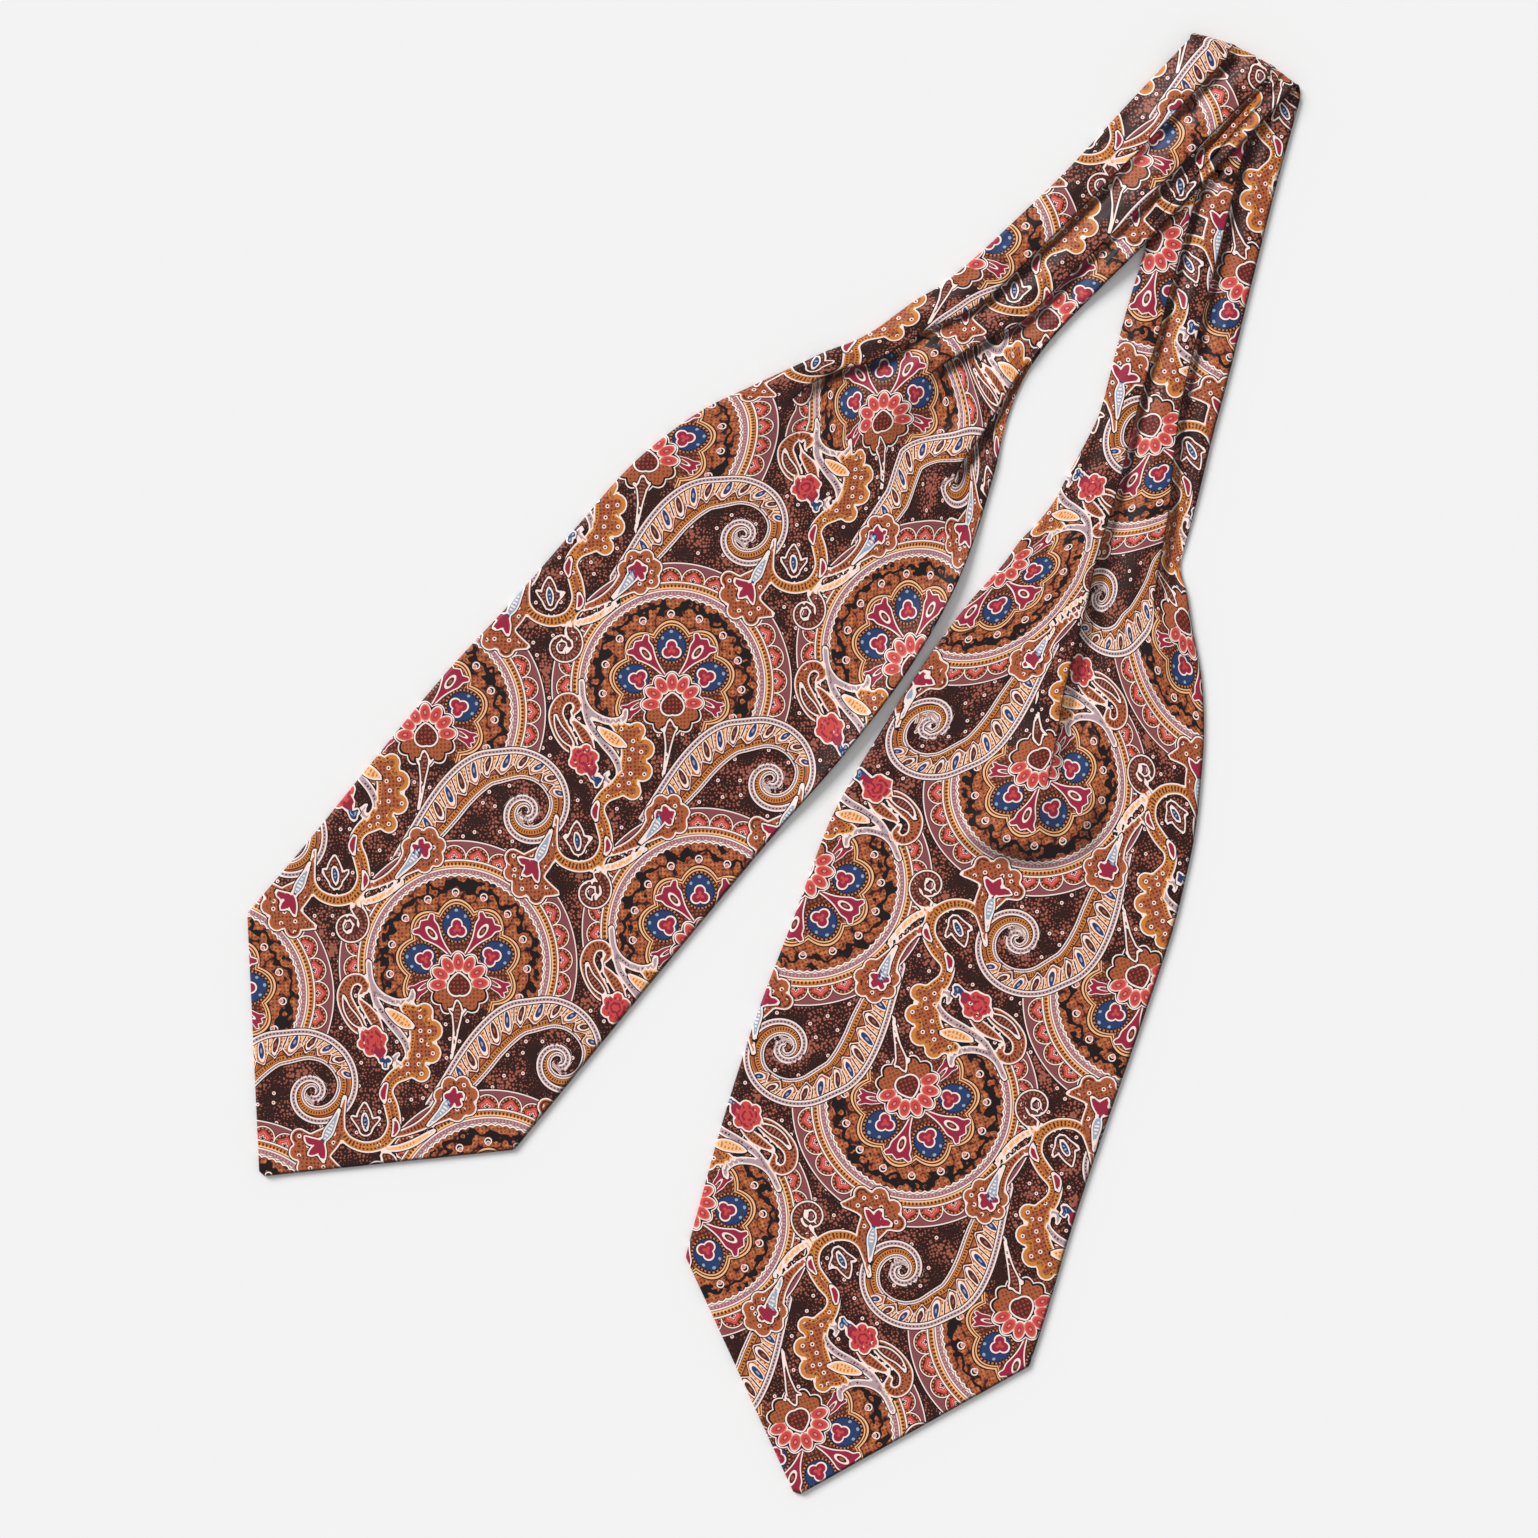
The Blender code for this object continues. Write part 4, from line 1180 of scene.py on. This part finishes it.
def paint_tulips(tree, below, fan, spread, radius, where):
    """Two large crimson tulips between the eyes, and two small ones beside the palmette."""
    lean = add(tree, "Math", [fan, EYE_ARC, 0.0], operation="WRAP")
    lean = add(tree, "Math", [lean, EYE_ARC / 2], operation="SUBTRACT")
    aside = add(tree, "Math", [lean, radius], operation="MULTIPLY")
    low = add(tree, "Math", [spread, EYE_ARC], operation="GREATER_THAN")
    aside = add(tree, "Math", [aside, add(tree, "Math", [low, 0.8, 1.0], operation="MULTIPLY_ADD")], operation="MULTIPLY")
    half = add(
        tree,
        "FloatCurve",
        {"Value": add(tree, "Math", [radius, 1 / 25.0], operation="MULTIPLY")},
        curve=((0.0, 0.0), (0.28, 0.05), (0.45, 0.14), (0.6, 0.30), (0.72, 0.44), (0.80, 0.46), (0.9, 0.62), (1.0, 0.64)),
    )
    off = add(tree, "Math", [aside], operation="ABSOLUTE")
    points = add(tree, "Math", [add(tree, "Math", [off, 2.4], operation="PINGPONG"), 0.55, radius], operation="MULTIPLY_ADD")
    shape = add(tree, "Math", [half, -9.0, off], operation="MULTIPLY_ADD")
    shape = add(tree, "Math", [shape, add(tree, "Math", [points, 23.2], operation="SUBTRACT")], operation="MAXIMUM")
    here = add(tree, "Math", [add(tree, "Math", [spread, 2 * EYE_ARC], operation="LESS_THAN"), where], operation="MULTIPLY")
    here = add(tree, "Math", [here, add(tree, "Math", [radius, 24.4], operation="LESS_THAN")], operation="MULTIPLY")
    shade = banded(tree, below, shape, ((-4.5, "crimson"), (0.0, "cream"), (0.55, "night"), (0.9, None)), here)
    rise = add(tree, "Math", [add(tree, "Math", [radius, 16.8], operation="SUBTRACT"), 1 / 3.6], operation="MULTIPLY")
    drop = distance(tree, add(tree, "Math", [aside, 1 / 1.7], operation="MULTIPLY"), rise)
    return banded(tree, shade, drop, ((0.0, "pebble"), (0.3, "umber"), (0.62, "cream"), (0.95, "crimson"), (1.1, None)), here)


def paint_eyes(tree, below, fan, spread, radius):
    """Three blue eyes, each with pale dots and a crimson trefoil."""
    lean = add(tree, "Math", [fan, EYE_ARC / 2, -EYE_ARC / 2], operation="WRAP")
    ex = add(tree, "Math", [add(tree, "Math", [lean], operation="SINE"), radius], operation="MULTIPLY")
    ey = add(tree, "Math", [add(tree, "Math", [lean], operation="COSINE"), radius], operation="MULTIPLY")
    ey = add(tree, "Math", [ey, EYE_OUT], operation="SUBTRACT")
    here = add(tree, "Math", [spread, 1.5 * EYE_ARC], operation="LESS_THAN")
    turn = add(tree, "Math", [ex, ey], operation="ARCTAN2")
    peak = add(tree, "Math", [add(tree, "Math", [turn, 0.5], operation="MULTIPLY")], operation="COSINE")
    peak = add(tree, "Math", [peak, 24.0], operation="POWER")
    point = add(tree, "Math", [peak, -1.2, distance(tree, ex, ey)], operation="MULTIPLY_ADD")
    shade = banded(tree, below, point, ((0.0, "navy"), (6.2, "night"), (7.3, None)), here)
    shade = dotted(tree, shade, point, 6.7, 0.4, turn, BEAD_PITCH / 6.7, "tan", here)
    shade = dotted(tree, shade, point, 5.9, 0.35, turn, BEAD_PITCH / 6.7, "night", here)
    spread_dots = add(tree, "Math", [turn, 0.4, -0.4], operation="WRAP")
    spread_dots = add(tree, "Math", [spread_dots, 5.0], operation="MULTIPLY")
    dots = distance(tree, spread_dots, add(tree, "Math", [point, 4.9], operation="SUBTRACT"))
    outer = add(tree, "Math", [add(tree, "Math", [ey, 2.4], operation="GREATER_THAN"), here], operation="MULTIPLY")
    shade = banded(tree, shade, dots, ((0.0, "sky"), (0.62, None)), outer)
    low = add(tree, "Math", [ey, 1.5], operation="ADD")
    turn = add(tree, "Math", [ex, low], operation="ARCTAN2")
    leaf = add(tree, "Math", [add(tree, "Math", [turn, 1.5], operation="MULTIPLY")], operation="COSINE")
    leaf = add(tree, "Math", [leaf], operation="ABSOLUTE")
    trefoil = add(tree, "Math", [leaf, -1.6, distance(tree, ex, low)], operation="MULTIPLY_ADD")
    rows = ((-1.6, "coral"), (0.2, "crimson"), (2.1, "cream"), (2.8, "night"), (3.1, None))
    return banded(tree, shade, trefoil, rows, here)


def paint_palmette(tree, below, middle, stipple):
    """A fan of seven coral petals round a brown heart, on two brown leaves."""
    local = add(tree, "VectorMath", [middle, PALMETTE], operation="SUBTRACT")
    px, py, _ = add(tree, "SeparateXYZ", [local]).node.outputs
    out = add(tree, "VectorMath", [local], operation="LENGTH", out="Value")
    turn = add(tree, "Math", [px, py], operation="ARCTAN2")
    beat = add(tree, "Math", [add(tree, "Math", [turn, 6.0], operation="MULTIPLY")], operation="COSINE")
    shape = add(tree, "Math", [add(tree, "Math", [beat], operation="ABSOLUTE"), -1.7, out], operation="MULTIPLY_ADD")
    shade = banded(tree, below, shape, ((0.0, "brown"), (10.2, "night"), (11.2, "cream"), (11.8, "night"), (12.2, None)))
    inside = add(tree, "Math", [shape, 9.7], operation="LESS_THAN")
    speck = add(tree, "Math", [add(tree, "Math", [stipple, inside], operation="MULTIPLY"), 0.6], operation="MULTIPLY")
    shade = add(tree, "MixRGB", [speck, shade, dye(INK["umber"])])
    spread = add(tree, "Math", [turn], operation="ABSOLUTE")
    upper = add(tree, "Math", [spread, 3.5 * PETAL_ARC], operation="LESS_THAN")
    shade = banded(tree, shade, shape, ((0.0, "night"), (11.2, None)), upper)
    lean = add(tree, "Math", [turn, PETAL_ARC / 2, -PETAL_ARC / 2], operation="WRAP")
    x = add(tree, "Math", [add(tree, "Math", [lean], operation="SINE"), out], operation="MULTIPLY")
    y = add(tree, "Math", [out, PETAL_OUT], operation="SUBTRACT")
    x = add(tree, "Math", [x, 1 / 2.5], operation="MULTIPLY")
    y = add(tree, "Math", [y, 1 / 3.9], operation="MULTIPLY")
    petal = distance(tree, x, y)
    rows = ((0.0, "pink"), (0.2, "crimson"), (0.34, "coral"), (0.74, "pink"), (0.88, "cream"), (1.02, None))
    shade = banded(tree, shade, petal, rows, upper)
    side = add(tree, "Math", [add(tree, "Math", [turn], operation="SINE")], operation="ABSOLUTE")
    top = add(tree, "Math", [add(tree, "Math", [turn], operation="COSINE"), 1.5], operation="MULTIPLY")
    heart = add(tree, "Math", [side, top, out], operation="MULTIPLY_ADD")
    shade = banded(tree, shade, heart, ((0.0, "umber"), (4.3, "cream"), (5.0, "night"), (5.3, None)))
    within = add(tree, "Math", [heart, 3.8], operation="LESS_THAN")
    speck = add(tree, "Math", [add(tree, "Math", [stipple, within], operation="MULTIPLY"), 0.55], operation="MULTIPLY")
    return add(tree, "MixRGB", [speck, shade, dye(INK["coral"])])


# %% [markdown]
# ## The silk
#
# The cloth is a printed silk twill. Its threads lie on a slant and shine softly, which the sheen and a fine
# diagonal bump give. The real twill line is 0.3 mm, too fine for the picture, so it is drawn at 0.9 mm. Slopes
# that face away from the sun get painted shade: the print is darkened there, so that the folds show.

# %% Printed silk
TWILL_PITCH = 0.9
# the direction across the table in which a slope faces away from the sun and gets painted shade
AWAY = (0.5, -0.866, 0.0)


def printed_silk(name, roughness):
    material = bpy.data.materials.new(name)
    material.use_nodes = True
    tree = material.node_tree
    shader = tree.nodes["Principled BSDF"]
    place = add(tree, "Attribute", attribute_name="print_place", out="Vector")
    square = add(tree, "VectorRotate", {"Vector": place, "Angle": -REPEAT_TURN}, rotation_type="Z_AXIS")
    half = (REPEAT[0] / 2, REPEAT[1] / 2, 1.0)
    wrapped = add(tree, "VectorMath", [square, half, tuple(-v for v in half)], operation="WRAP")
    middle = add(tree, "VectorRotate", {"Vector": wrapped, "Angle": REPEAT_TURN}, rotation_type="Z_AXIS")
    mx, my, _ = add(tree, "SeparateXYZ", [middle]).node.outputs
    radius = add(tree, "VectorMath", [middle], operation="LENGTH", out="Value")
    angle = add(tree, "Math", [my, mx], operation="ARCTAN2")
    fan = add(tree, "Math", [angle, math.pi / 2], operation="SUBTRACT")
    fan = add(tree, "Math", [fan, math.pi, -math.pi], operation="WRAP")
    spread = add(tree, "Math", [fan], operation="ABSOLUTE")
    wedge = add(tree, "Math", [add(tree, "Math", [mx], operation="ABSOLUTE"), 0.75, my], operation="MULTIPLY_ADD")
    above = add(tree, "Math", [wedge, -11.0], operation="GREATER_THAN")

    shade, stipple, eyelets = paint_ground(tree, place)
    shade = paint_rings(tree, shade, mx, my, radius, angle)
    shade = paint_wreath(tree, shade, place, radius, angle, stipple, above)
    shade = paint_frame(tree, shade, radius, angle, stipple, above)
    shade = paint_tulips(tree, shade, fan, spread, radius, above)
    shade = paint_eyes(tree, shade, fan, spread, radius)
    shade = paint_palmette(tree, shade, middle, stipple)
    shade = paint_scroll(tree, shade, stipple)
    shade = paint_leaves(tree, shade, "leaves", stipple, eyelets)
    shade = paint_leaves(tree, shade, "blooms", stipple, eyelets)
    # Painted shade: the base colour is darkened toward night on slopes that face away from the sun
    facing = add(tree, "NewGeometry", out="Normal")
    slope = add(tree, "VectorMath", [facing, AWAY], operation="DOT_PRODUCT", out="Value")
    painted_slope_shade = add(tree, "MapRange", {"Value": slope, "From Min": 0.03, "From Max": 0.32, "To Min": 0.0, "To Max": 0.78})
    shade = add(tree, "MixRGB", [painted_slope_shade, shade, dye(INK["night"])])
    tree.links.new(shade, shader.inputs["Base Color"])
    shader.inputs["Roughness"].default_value = roughness
    shader.inputs["Specular IOR Level"].default_value = 0.22
    shader.inputs["Sheen Weight"].default_value = 0.03
    shader.inputs["Sheen Roughness"].default_value = 0.4
    twill = add(tree, "TexWave", {"Vector": place, "Scale": 1 / TWILL_PITCH / 3.3, "Distortion": 0.4}, bands_direction="DIAGONAL")
    bump = add(tree, "Bump", {"Strength": 0.12, "Distance": 0.0002, "Height": twill}, out="Normal")
    tree.links.new(bump, shader.inputs["Normal"])
    print(name, len(tree.nodes), "nodes")
    return material


# %% [markdown]
# ## Cutting and laying the sheets
#
# Each half has a printed front and a backing of the same silk. The fronts stand for the pleated solids and the
# neck turn, and the backings for the flat ones.

# %% The four sheets
front_silk = printed_silk("printed silk twill", 0.48)
FRONT_SPANS = {"left": 15, "right": 23}
sheets = {}
for half in (LEFT, RIGHT):
    front = make_sheet(f"{half.name}_front", front_rows(half, FRONT_SPANS[half.name]))
    backing = make_sheet(f"{half.name}_backing", back_rows(half, 40))
    for piece, slot in ((front, "printed_silk"), (backing, "silk_backing")):
        piece.data.materials.append(front_silk)
        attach(piece, "root")
    turn = "neck_turn_outer" if half is LEFT else "neck_turn_inner"
    pleats = [f"{half.name}_band_pleat_{n}" for n in (1, 2, 3)]
    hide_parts(f"{half.name}_blade_front", turn, *pleats)
    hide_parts(f"{half.name}_blade_back", f"{half.name}_band_back")
    sheets[half.name] = (front, backing)

# %% [markdown]
# ## What the sheets were cut from
#
# A front is cut as wide as its blade and as long as its half, with a pointed end. In the band the pleats hide
# most of that width. The cut that is stated here is the cloth that shows.

# %% Sheets of cloth
for half in (LEFT, RIGHT):
    front, backing = sheets[half.name]

# %% [markdown]
# ## The table and the light
#
# The table is a plain pale floor. A bright even sky and one wide soft sun from the upper left light the cloth,
# so that the pleats are shaded a little and the table is equally bright all over.

# %% Floor and light
SKY_STRENGTH = 0.52
SUN_STRENGTH = 2.8
SUN_SIZE = math.radians(30.0)
SUN_TURN = (math.radians(52.0), 0.0, math.radians(225.0))
floor_paint = bpy.data.materials.new("pale floor")
floor_paint.use_nodes = True
shader = floor_paint.node_tree.nodes["Principled BSDF"]
shader.inputs["Base Color"].default_value = dye("#ececec")
shader.inputs["Roughness"].default_value = 0.9
shader.inputs["Specular IOR Level"].default_value = 0.0
bpy.ops.mesh.primitive_plane_add(size=12.0, location=(0.0, 0.0, -0.0002))
floor = bpy.context.object
floor.name = "floor"
floor.data.materials.append(floor_paint)
bpy.ops.object.light_add(type="SUN", rotation=SUN_TURN)
sun = bpy.context.object
sun.data.energy = SUN_STRENGTH
sun.data.angle = SUN_SIZE
world = bpy.data.worlds.new("studio")
bpy.context.scene.world = world
world.use_nodes = True
world.node_tree.nodes["Background"].inputs["Color"].default_value = (1.0, 1.0, 1.0, 1.0)
world.node_tree.nodes["Background"].inputs["Strength"].default_value = SKY_STRENGTH
bpy.context.scene.view_settings.view_transform = "Standard"
